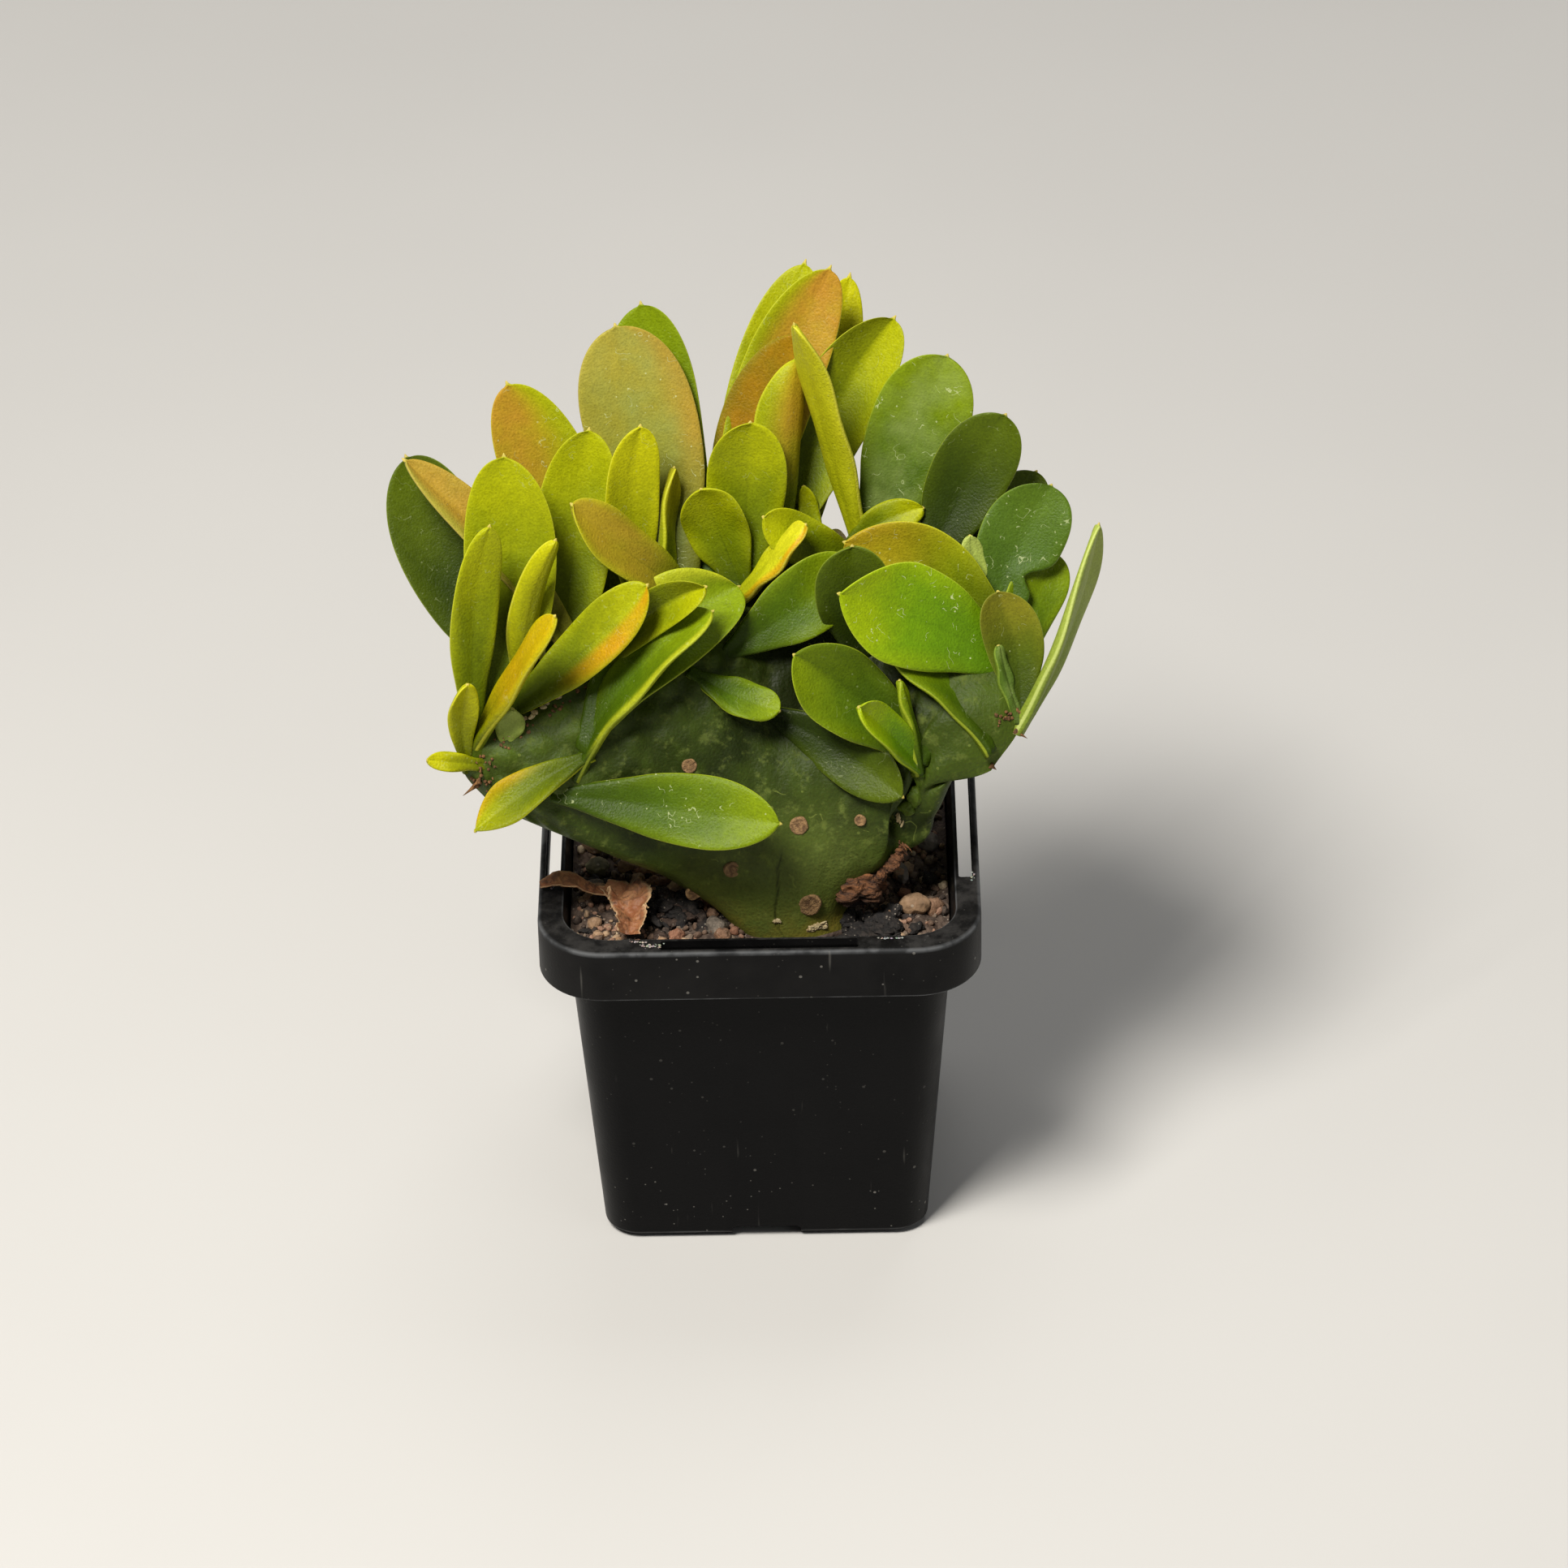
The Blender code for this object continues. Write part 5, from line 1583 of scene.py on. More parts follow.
    def add_disc(self, skin: Skin, scar: Scar, seed: int) -> None:
        """Adds one scar: a low disc with a raised pale rim and a sunken rough middle.

        Args:
            skin: the mesh that it goes into.
            scar: its place and radius.
            seed: what sets its unevenness.
        """
        outward = self.fan.normal(scar.u, scar.v)
        turn = outward.to_track_quat("Z", "Y")
        centre = self.skin_point(scar.u, scar.v) + outward * 0.12 * MM
        radius = scar.radius * MM
        rings = []
        for share, height in self.scar_profile:
            ring = []
            for x, y in circle(self.scar_steps):
                way = Vector((x, y, 0))
                wobble = 1 + 0.14 * rumple(way, 1.1, seed) + 0.05 * rumple(way, 4.0, seed + 2)
                lift = height * MM + 0.00010 * rumple(way * share, 4.0, seed + 3)
                point = centre + turn @ (way * radius * share * wobble + Vector((0, 0, lift)))
                edge = smoothstep(0.70, 0.90, share) * (0.35 + 0.3 * rumple(way, 2.0, seed + 6))
                hollow = 0.2 * (1 - smoothstep(0.1, 0.5, share))
                ring.append(skin.add(point, edge=edge, hollow=hollow))
            rings.append(ring)
        skin.tube(rings)

    def build_scars(self) -> None:
        """Makes the round leaf scars."""
        skin = Skin()
        for i, scar in enumerate(self.scars):
            self.add_disc(skin, scar, i)
        finish = BarkFinish("leaf_scar_cork", shade(156, 122, 80), shade(98, 70, 42), 1300.0)
        piece("leaf_scars", skin, finish.build(self.effects), "plant", "crested_plant")

    def build_callus(self) -> None:
        """Makes the dry fibrous lump at the foot and the frayed strip above it; painted shade darkens the
        lump's lower side.
        """
        skin = Skin()
        draw = random.Random(11)
        ball = Ball(self.callus_size, 0.32, 2.2, 0.25, 5, 4.0)
        points, faces = ball.shape()
        first = len(skin.points)
        for point in points:
            fibre = 0.00035 * rumple(Vector((point.x * 0.4, point.y, point.z * 1.6)), 1500.0, 6.0)
            # Painted shade: the lump's lower side is darkened through its hollow value.
            low = smoothstep(0.001, -0.0025, point.z)
            out = point.normalized() * fibre
            skin.add(self.callus_centre + point + out, edge=0.0, hollow=low * 0.9)
        skin.faces.extend(tuple(first + i for i in face) for face in faces)
        for i in range(self.flakes):
            share = i / (self.flakes - 1)
            v = 0.26 + 0.25 * share
            size = 1.5 - 0.9 * share
            sizes = tuple(size * draw.uniform(0.6, 1.1) * MM for _ in range(3))
            off = Vector((draw.uniform(-0.6, 0.2), draw.uniform(-2.2, -1.0), 0)) * MM
            flake = Ball(sizes, 0.4, 2.0, 0.25, 3, 60 + i)
            values = {"edge": draw.uniform(0.0, 0.5), "hollow": draw.uniform(0.0, 0.4)}
            skin.lump(flake, self.fan.middle(0.99, v) + off, Quaternion(), **values)
        for _ in range(self.fibres):
            v = draw.uniform(0.20, 0.56)
            off = Vector((draw.uniform(-0.8, 0.3), draw.uniform(-1.2, 0.8), 0)) * MM
            way = Vector((draw.uniform(0.2, 1.0), draw.uniform(-0.9, 0.3), draw.uniform(-0.9, 0.5)))
            length = draw.uniform(0.8, 2.2) * MM * (1.4 if v < 0.34 else 0.7)
            self.add_fibre(skin, self.fan.middle(1.0, v) + off, way.normalized(), length, draw)
        colours = shade(132, 84, 46), shade(30, 16, 9)
        finish = BarkFinish("callus_fibre", *colours, 520.0, (0.5, 1.0, 2.2), 0.0008)
        piece("callus", skin, finish.build(self.effects), "plant", "crested_plant")

    def add_fibre(self, skin: Skin, root: Vector, way: Vector, length: float, draw: random.Random) -> None:
        """Adds one short bent fibre.

        Args:
            skin: the mesh that it goes into.
            root: where it grows.
            way: the direction that it points in.
            length: its length in metres.
            draw: where its random values come from.
        """
        side = way.orthogonal().normalized()
        bend = side * length * draw.uniform(-0.4, 0.4) + Vector((0, 0, -0.3 * length))
        width = draw.uniform(0.12, 0.34) * MM
        flat = draw.uniform(0.3, 0.7)
        edge = draw.uniform(0.0, 0.8)
        rings = []
        for i in range(5):
            t = i / 4
            centre = root + way * length * t + bend * t * t
            half = side * width * (1 - 0.85 * t)
            values = {"edge": edge * t, "hollow": 0.3 * (1 - t)}
            rings.append(skin.loop(centre, half, way.cross(half) * flat, 6, **values))
        skin.tube(rings)

    def build_prickles(self) -> None:
        """Makes the brown prickles of the crest: a dotted growing line and a few spines."""
        skin = Skin()
        draw = random.Random(23)
        for i in range(self.prickles):
            u = draw.uniform(0.03, 0.36) if i % 9 else draw.uniform(0.90, 0.92)
            v = draw.uniform(0.92, 0.99)
            root = self.skin_point(u, v)
            out = (self.fan.normal(u, v) + Vector((0, -0.2, 0.5)) * draw.uniform(-0.4, 1.0)).normalized()
            ball = Ball((draw.uniform(0.16, 0.34) * MM,) * 3, 0.5, 1.5, 0.0, 2, i)
            skin.lump(ball, root, Quaternion(), edge=draw.uniform(0, 0.5), hollow=draw.uniform(0, 0.5))
            if i % 4 == 0:
                self.add_fibre(skin, root, out, draw.uniform(0.5, 1.1) * MM, draw)
        for i in range(self.crest_dots):
            root = self.skin_point(draw.uniform(0.17, 0.30), draw.uniform(0.92, 0.985))
            ball = Ball((draw.uniform(0.12, 0.26) * MM,) * 3, 0.5, 1.5, 0.0, 2, 200 + i)
            skin.lump(ball, root, Quaternion(), edge=draw.uniform(0, 0.7), hollow=draw.uniform(0, 0.5))
        for u, v, length in self.spines:
            root = self.skin_point(u, v)
            way = (root - self.fan.middle(0.5, 0.6)).normalized() + Vector((0, -0.3, -0.5))
            self.add_spine(skin, root, way.normalized(), length * MM)
        finish = BarkFinish("prickle_cork", shade(140, 98, 52), shade(66, 42, 22), 1300.0)
        piece("crest_prickles", skin, finish.build(self.effects), "plant", "crested_plant")

    def add_spine(self, skin: Skin, root: Vector, way: Vector, length: float) -> None:
        """Adds one sharp brown spine on a small corky foot.

        Args:
            skin: the mesh that it goes into.
            root: where it grows.
            way: the direction that it points in.
            length: its length in metres.
        """
        side = way.orthogonal().normalized()
        other = way.cross(side)
        rings = []
        for along, half in ((-0.2, 0.55), (0.0, 0.60), (0.15, 0.36), (0.5, 0.20), (0.8, 0.10), (1.0, 0.02)):
            centre = root + way * length * along
            rings.append(skin.loop(centre, side * half * MM, other * half * MM, 10, edge=0.0, hollow=0.0))
        skin.tube(rings)

    def build_crust(self) -> None:
        """Makes the pale flakes: at the foot's bottom, beside the seam and on the left lobe."""
        skin = Skin()
        draw = random.Random(31)
        for u0, v0, spread, count in self.crust_spots:
            for _ in range(count):
                u = u0 + draw.uniform(-0.03, 0.03) * spread
                v = v0 + draw.uniform(-0.008, 0.008) * spread
                out = self.fan.normal(u, v)
                size = draw.uniform(0.35, 0.8) * MM
                sizes = size, size * draw.uniform(0.5, 0.9), size * 0.28
                ball = Ball(sizes, 0.4, 1.8, 0.2, 3, draw.random() * 50)
                turn = (out + Vector([draw.uniform(-0.5, 0.5) for _ in range(3)])).to_track_quat("Z", "Y")
                place = self.skin_point(u, v) + out * 0.1 * MM
                skin.lump(ball, place, turn, edge=draw.uniform(0, 0.6), hollow=0.0)
        finish = BarkFinish("pale_crust", shade(214, 196, 150), shade(140, 112, 66), 1200.0)
        piece("pale_crust", skin, finish.build(self.effects), "plant", "crested_plant")

    def build(self) -> None:
        """Makes the stem and everything on it."""
        self.build_stem()
        self.build_scars()
        self.build_callus()
        self.build_prickles()
        self.build_crust()


@dataclass(frozen=True)
class Pot:
    """The square pot: hanging lip, four slots in the rim, a notched foot ring and five drain holes."""

    effects: SharedEffects
    width: float
    height: float
    wall: float = 0.0009
    lip_height: float = 0.0091
    lip_corner: float = 0.0105
    rim_opening: float = 0.062
    rim_corner: float = 0.0075
    body_top_width: float = 0.0602
    body_foot_width: float = 0.0526
    body_corner: float = 0.0070
    foot_corner: float = 0.0056
    shoulder_drop: float = 0.0105
    floor_level: float = 0.0034
    floor_thickness: float = 0.0012
    foot_ring: float = 0.0026
    foot_bevel: float = 0.0012
    rim_thickness: float = 0.0012
    step: float = 0.0003
    slot: tuple[float, float] = (0.031, 0.0024)
    notch: tuple[float, float] = (0.0112, 0.0023)
    drain_radius: float = 0.0032
    drain_spacing: float = 0.0135
    drain_steps: int = 40
    slot_corner: float = 0.0004
    notch_corner: float = 0.0009
    sharp_angle: float = 38.0
    corner_steps: int = 14
    side_steps: int = 12
    edge_radius: float = 0.00035
    widest_rounding: float = 0.000805
    deposits: tuple[tuple[float, float, float, float, int], ...] = (
        (-17.0, -32.9, 1.6, 0.5, 34),
        (-19.0, -31.7, 1.6, 0.2, 14),
        (20.6, -31.8, 2.6, 0.2, 16),
        (-32.9, -16.2, 0.6, 0.9, 18),
        (33.9, -15.6, 0.3, 1.2, 14),
    )

    @property
    def shoulder(self) -> float:
        """The level where the tapered body meets the collar."""
        return self.height - self.shoulder_drop

    def body_half(self, level: float) -> float:
        """Half the width of the tapered body at a level."""
        share = level / self.shoulder
        return (self.body_foot_width + (self.body_top_width - self.body_foot_width) * share) / 2

    def inner(self, level: float, gap: float) -> tuple[float, float]:
        """Half the width and the corner radius of the pot's inside at a level, less a gap.

        Args:
            level: the level in metres.
            gap: the gap in metres.

        Returns:
            Both in metres.
        """
        if level <= self.shoulder:
            return self.body_half(level) - self.wall - gap, self.body_corner - self.wall - gap
        foot = self.rim_opening / 2 - self.step - self.wall
        share = (level - self.shoulder) / (self.height - self.shoulder)
        half = foot + (self.rim_opening / 2 - foot) * share - gap
        return half, self.rim_corner - self.wall - gap

    def square(self, half: float, radius: float, level: float) -> list[Vector]:
        """A square ring with round corners, going anticlockwise seen from above.

        Args:
            half: half its width.
            radius: its corners' radius.
            level: its level.

        Returns:
            Its points.
        """
        ring = []
        for turn in range(4):
            around = Matrix.Rotation(turn * pi / 2, 3, "Z")
            for step in range(self.corner_steps + 1):
                angle = step / self.corner_steps * pi / 2
                x = half - radius + radius * cos(angle)
                y = half - radius + radius * sin(angle)
                ring.append(around @ Vector((x, y, level)))
            for step in range(1, self.side_steps):
                share = 1 - 2 * step / self.side_steps
                ring.append(around @ Vector(((half - radius) * share, half, level)))
        return ring

    def outside_profile(self) -> list[tuple[float, float, float, float]]:
        """The pot's section from its foot round the lip to its floor, with rounded edges.

        Returns:
            Half width, corner radius, level and share of pale wear and painted sheen of each ring.
        """
        half, opening = self.width / 2, self.rim_opening / 2
        collar = opening - self.step
        lip_foot = self.height - self.lip_height
        under_rim = self.height - self.rim_thickness
        foot = self.body_half(0) - self.foot_bevel
        wall, step = self.wall, self.step
        floor_half = self.body_half(self.floor_level) - wall
        corners = (
            (foot, self.foot_corner, 0.0, 0.0),
            (self.body_half(0), self.foot_corner, self.foot_bevel, 0.6),
            (self.body_half(self.shoulder), self.body_corner, self.shoulder, 0.1),
            (collar, self.rim_corner, self.shoulder + wall, 0.1),
            (opening + step, self.rim_corner, under_rim, 0.0),
            (half - wall - step, self.lip_corner - wall, under_rim, 0.0),
            (half - wall, self.lip_corner - wall, lip_foot, 0.8),
            (half, self.lip_corner, lip_foot, 1.0),
            (half, self.lip_corner, self.height, 1.0),
            (opening, self.rim_corner, self.height, 0.9),
            (collar - wall, self.rim_corner - wall, self.shoulder + wall + step, 0.1),
            (self.body_half(self.shoulder) - wall, self.body_corner - wall, self.shoulder, 0.1),
            (floor_half, self.foot_corner - wall, self.floor_level, 0.0),
        )
        rings = [(*corners[0][:3], 0.0)]
        for before, here, after in zip(corners, corners[1:], corners[2:]):
            rings.extend(self.rounded(before, here, after))
        rings.append((*corners[-1][:3], 0.0))
        return rings

    def rounded(
        self, before: Sequence[float], here: Sequence[float], after: Sequence[float]
    ) -> Iterator[tuple[float, float, float, float]]:
        """Rounds one edge of the section with five rings.

        Args:
            before: the section's corner before it, as half width, corner radius, level and share of pale wear
                and painted sheen.
            here: the corner that is rounded.
            after: the corner after it.

        Returns:
            The same four values of each ring.
        """
        middle = Vector(here[:3])
        outer_top = here[2] == self.height and here[0] > self.rim_opening / 2 + self.wall
        reach = min(self.edge_radius * (3.0 if outer_top else 1.0), self.widest_rounding)
        back, on = Vector(before[:3]) - middle, Vector(after[:3]) - middle
        first = middle + back.normalized() * min(reach, back.length / 2)
        last = middle + on.normalized() * min(reach, on.length / 2)
        for i in range(5):
            t = i / 4
            place = first * (1 - t) ** 2 + middle * 2 * t * (1 - t) + last * t**2
            yield (*place, here[3] * (1 - abs(2 * t - 1)))

    def skin(self) -> Skin:
        """Works out the pot before its holes are cut.

        Returns:
            Its skin.
        """
        skin = Skin()
        rings = []
        for half, radius, level, wear_and_sheen in self.outside_profile():
            rings.append([skin.add(point, edge=wear_and_sheen) for point in self.square(half, radius, level)])
        skin.tube(rings, close_ends=False)
        skin.faces.append(tuple(rings[-1]))
        foot = self.body_half(0) - self.foot_bevel
        inside = (foot - self.foot_ring, self.foot_corner - self.foot_ring)
        ceiling = self.floor_level - self.floor_thickness
        inner = [skin.add(point, edge=0.0) for point in self.square(*inside, 0.0)]
        under_floor = [skin.add(point, edge=0.0) for point in self.square(*inside, ceiling)]
        skin.tube([under_floor, inner, rings[0]], close_ends=False)
        skin.faces.append(tuple(under_floor[::-1]))
        return skin

    def bar_cutter(
        self, name: str, size: Vector, corner: float, place: Vector, turn: float, upright: bool
    ) -> Object:
        """A bar with round corners that cuts a slot or a notch.

        Args:
            name: the cutter's name.
            size: its length, its width and its depth along the cut.
            corner: the radius of its corners.
            place: where its middle is.
            turn: its turn about the pot's middle, in radians.
            upright: whether the cut goes down, as for a slot, or in, as for a notch.

        Returns:
            The cutter.
        """
        skin = Skin()
        rings = []
        for end in (-0.5, 0.5):
            ring = []
            for quarter in range(4):
                sign_x = (1, -1, -1, 1)[quarter]
                sign_y = (1, 1, -1, -1)[quarter]
                for step in range(7):
                    angle = (quarter + step / 6) * pi / 2
                    x = sign_x * (size.x / 2 - corner) + corner * cos(angle)
                    y = sign_y * (size.y / 2 - corner) + corner * sin(angle)
                    ring.append((x, y, end * size.z) if upright else (x, -end * size.z, y))
            around = Matrix.Rotation(turn, 3, "Z")
            rings.append([skin.add(around @ (Vector(point) + place)) for point in ring])
        skin.tube(rings)
        return place_object(name, skin.mesh(name))

    def drain_cutter(self, name: str, x: float, y: float) -> Object:
        """A round pin that cuts a drain hole.

        Args:
            name: the pin's name.
            x, y: where it stands.

        Returns:
            The pin.
        """
        skin = Skin()
        sides = Vector((self.drain_radius, 0, 0)), Vector((0, self.drain_radius, 0))
        levels = (-self.floor_thickness, 2 * self.floor_level)
        skin.tube([skin.loop(Vector((x, y, level)), *sides, self.drain_steps) for level in levels])
        return place_object(name, skin.mesh(name))

    def build(self) -> None:
        """Makes the pot and cuts its slots, notches and drain holes."""
        blank = place_object("pot_blank", self.skin().mesh("pot_blank"))
        reach = (self.rim_opening / 2 + self.width / 2 - self.wall) / 2 + self.step
        tools = []
        for turn in range(4):
            angle = turn * pi / 2
            size = Vector((*self.slot, 3 * self.rim_thickness))
            place = Vector((0, reach, self.height))
            tools.append(self.bar_cutter(f"slot_{turn}", size, self.slot_corner, place, angle, True))
            size = Vector((self.notch[0], 2 * self.notch[1], self.body_foot_width / 4))
            place = Vector((0, self.body_foot_width / 2 + self.foot_bevel, 0))
            tools.append(self.bar_cutter(f"notch_{turn}", size, self.notch_corner, place, angle, False))
        spread = self.drain_spacing / sqrt(2)
        for i, (x, y) in enumerate(((0, 0), (1, 1), (-1, 1), (-1, -1), (1, -1))):
            tools.append(self.drain_cutter(f"drain_{i}", x * spread, y * spread))
        for tool in tools:
            modifier = blank.modifiers.new(tool.name, "BOOLEAN")
            modifier.operation = "DIFFERENCE"
            modifier.solver = "EXACT"
            modifier.object = tool
        bpy.context.view_layer.update()
        cut = bpy.data.meshes.new_from_object(blank.evaluated_get(bpy.context.evaluated_depsgraph_get()))
        for obj in [*tools, blank]:
            bpy.data.objects.remove(obj)
        piece("pot_shell", cut, PotFinish().build(self.effects), "pot", "pot")
        cut.set_sharp_from_angle(angle=radians(self.sharp_angle))
        self.build_deposits()

    def build_deposits(self) -> None:
        """Makes the chalky crumbs that hard water left on the rim."""
        skin = Skin()
        draw = random.Random(41)
        for x, y, spread_x, spread_y, count in self.deposits:
            for i in range(count):
                place = Vector((x + draw.gauss(0, spread_x) / 2, y + draw.gauss(0, spread_y) / 2, 0)) * MM
                size = draw.uniform(0.06, 0.26) * MM
                ball = Ball((size, size * draw.uniform(0.5, 1.0), size * 0.3), 0.5, 1.8, 0.2, 2, i * 0.7)
                turn = Quaternion((0, 0, 1), draw.uniform(0, pi))
                tint = tuple(part * draw.uniform(0.5, 0.8) for part in shade(190, 186, 176))
                skin.lump(ball, place + Vector((0, 0, self.height)), turn, tint=tint)
        finish = EarthFinish("rim_chalk", 1400.0, 0.0001).build(self.effects)
        piece("rim_chalk", skin, finish, "pot", "pot")


@dataclass(frozen=True)
class PottingMix:
    """The mix in the pot: its uneven top, the grit and bark on it, and the stones that stand out."""

    pot: Pot
    fan: CrestedFan
    effects: SharedEffects
    level: float = 0.0585
    relief: float = 0.0008
    gap: float = 0.0003
    spokes: int = 200
    rings: int = 60
    clearance: float = 0.0005
    grains: int = 2000
    fine_grains: int = 520
    pebbles: int = 120
    chips: int = 150
    sunk_near_stem: float = 0.0012
    grain_tints: tuple[Colour, ...] = (
        shade(142, 106, 84),
        shade(116, 98, 82),
        shade(158, 130, 100),
        shade(92, 70, 54),
        shade(50, 38, 30),
        shade(184, 164, 134),
    )
    tint_shares: tuple[int, ...] = (3, 3, 2, 4, 5, 1)
    pebble_tints: tuple[Colour, ...] = (
        shade(134, 90, 66),
        shade(120, 88, 64),
        shade(154, 122, 92),
        shade(106, 96, 84),
    )
    fine_tints: tuple[Colour, ...] = (
        shade(150, 122, 104),
        shade(128, 102, 88),
        shade(166, 144, 118),
        shade(104, 84, 72),
    )

    def height(self, x: float, y: float) -> float:
        """The level of the mix at a place, gently uneven, as in the part.

        Args:
            x, y: the place.

        Returns:
            The level in metres.
        """
        x, y = x / MM, y / MM
        wave = 0.7 * sin(0.42 * x + 1.0) * sin(0.37 * y) + 0.4 * sin(0.21 * x - 0.33 * y + 2.0)
        return self.level + self.relief * wave

    def crumbs(self, x: float, y: float) -> float:
        """The level of the mix with its crumbs.

        Args:
            x, y: the place.

        Returns:
            The level in metres.
        """
        place = Vector((x, y, 0))
        rough = 0.0006 * rumple(place, 260.0) + 0.0004 * rumple(place, 620.0, 4.0)
        rough += 0.0002 * rumple(place, 1500.0, 7.0)
        off = (place.xy - self.fan.foot_centre).length
        sunk = self.sunk_near_stem * (1 - smoothstep(0.010, 0.016, off))
        return self.height(x, y) + rough - 0.0002 - sunk

    def inside(self, x: float, y: float, half: float, radius: float) -> bool:
        """Whether a place is inside a square with round corners.

        Args:
            x, y: the place.
            half: half the square's width.
            radius: its corners' radius.

        Returns:
            Whether it is inside.
        """
        over_x = max(abs(x) - (half - radius), 0.0)
        over_y = max(abs(y) - (half - radius), 0.0)
        return hypot(over_x, over_y) <= radius

    def reach(self, way: Vector, half: float, radius: float) -> float:
        """How far it is from the foot's middle to the pot's inside, one way.

        Args:
            way: the direction.
            half: half the inside's width.
            radius: its corners' radius.

        Returns:
            The distance in metres.
        """
        near, far = 0.0, self.pot.width
        for _ in range(24):
            middle = (near + far) / 2
            place = self.fan.foot_centre + way * middle
            near, far = (middle, far) if self.inside(place.x, place.y, half, radius) else (near, middle)
        return near

    def build_bed(self) -> None:
        """Makes the body of the mix, with a hole for the stem's foot."""
        skin = Skin()
        ways = [Vector(way) for way in circle(self.spokes)]
        hole_x = self.fan.foot_half_width + self.clearance
        hole_y = self.fan.foot_half_depth + self.clearance
        shoulder = self.pot.shoulder
        dark, brown = shade(44, 34, 28), shade(78, 60, 48)
        rings = []
        for level in (self.pot.floor_level + self.gap, shoulder, shoulder + 2 * self.pot.wall):
            half, radius = self.pot.inner(level, self.gap)
            ring = []
            for way in ways:
                place = self.fan.foot_centre + way * self.reach(way, half, radius)
                ring.append(skin.add((place.x, place.y, level), tint=dark))
            rings.append(ring)
        half, radius = self.pot.inner(self.level - self.relief, self.gap)
        outer = [self.fan.foot_centre + way * self.reach(way, half, radius) for way in ways]
        for i in range(self.rings + 1):
            share = (i / self.rings) ** 0.9
            ring = []
            for way, edge in zip(ways, outer):
                hole = self.fan.foot_centre + Vector((way.x * hole_x, way.y * hole_y))
                place = edge.lerp(hole, share)
                calm = smoothstep(0.0, 0.03, share) * (1 - smoothstep(0.97, 1.0, share))
                level = self.height(place.x, place.y)
                level += (self.crumbs(place.x, place.y) - level) * calm
                blend = 0.5 + 0.5 * rumple(Vector((place.x, place.y, 0)), 400.0, 12.0)
                tint = tuple(a + (b - a) * blend for a, b in zip(dark, brown))
                ring.append(skin.add((place.x, place.y, level), tint=tint))
            rings.append(ring)
        last = [self.fan.foot_centre + Vector((way.x * hole_x, way.y * hole_y)) for way in ways]
        rings.append([skin.add((p.x, p.y, self.fan.foot_bottom - self.gap), tint=dark) for p in last])
        skin.tube(rings)
        finish = EarthFinish("mix_crumb", 700.0, 0.0003).build(self.effects)
        piece("mix_bed", skin, finish, "potting_mix", "potting_mix")

    def scatter(self, draw: random.Random, margin: float) -> tuple[float, float]:
        """A random place on the mix, clear of the pot's wall and the stem's foot.

        Args:
            draw: where the random values come from.
            margin: how far it stays clear, in metres.

        Returns:
            The place.
        """
        half, radius = self.pot.inner(self.level, self.gap)
        while True:
            x, y = draw.uniform(-half, half), draw.uniform(-half, half)
            off_x = (x - self.fan.foot_centre.x) / (self.fan.foot_half_width + margin)
            off_y = (y - self.fan.foot_centre.y) / (self.fan.foot_half_depth + margin)
            clear = hypot(off_x, off_y) > 1.0
            if clear and self.inside(x, y, half - margin, max(radius - margin, 0.001)):
                return x, y

    def add_grain(
        self, skin: Skin, draw: random.Random, place: tuple[float, float], size: float, tint: Colour
    ) -> None:
        """Adds one grain or pebble.

        Args:
            skin: the mesh that it goes into.
            draw: where its random values come from.
            place: where it lies.
            size: half its size in millimetres.
            tint: its colour.
        """
        sizes = tuple(size * draw.uniform(0.7, 1.25) * MM for _ in range(3))
        detail = 1 + (size > 0.32) + (size > 1.15)
        ball = Ball(sizes, 0.35, 1.4, 0.25, detail, draw.uniform(0, 90))
        turn = Quaternion([draw.gauss(0, 1) for _ in range(4)]).normalized()
        skin.lump(ball, Vector((*place, self.crumbs(*place) + size * 0.35 * MM)), turn, tint=tint)

    def build_grit(self) -> None:
        """Makes the grit: mixed brown grains, round pebbles among them, and fine pale grit in front."""
        skin = Skin()
        draw = random.Random(5)
        for i in range(self.grains):
            size = draw.uniform(0.22, 0.6) if i % 3 else draw.uniform(0.5, 1.0)
            place = self.scatter(draw, 0.0007)
            self.add_grain(skin, draw, place, size, draw.choices(self.grain_tints, self.tint_shares)[0])
        for _ in range(self.pebbles):
            place = self.scatter(draw, 0.0020)
            self.add_grain(skin, draw, place, draw.uniform(0.9, 1.7), draw.choice(self.pebble_tints))
        for _ in range(self.fine_grains):
            place = draw.uniform(-25, -3) * MM, draw.uniform(-30.0, -26.2) * MM
            self.add_grain(skin, draw, place, draw.uniform(0.16, 0.42), draw.choice(self.fine_tints))
        finish = EarthFinish("grit_grain", 1500.0, 0.00015).build(self.effects)
        piece("mix_grit", skin, finish, "potting_mix", "potting_mix")

    def build_chips(self) -> None:
        """Makes the dark bark: scattered chips, two dark heaps beside the stem that are painted shade, and a
        few pale flakes.
        """
        skin = Skin()
        draw = random.Random(9)
        dark = (shade(40, 30, 24), shade(28, 22, 18), shade(56, 40, 30), shade(20, 16, 14))
        pale = (shade(150, 116, 84), shade(176, 146, 112), shade(128, 94, 66))
        spots = [(self.scatter(draw, 0.0022), dark, 0.0) for _ in range(self.chips)]
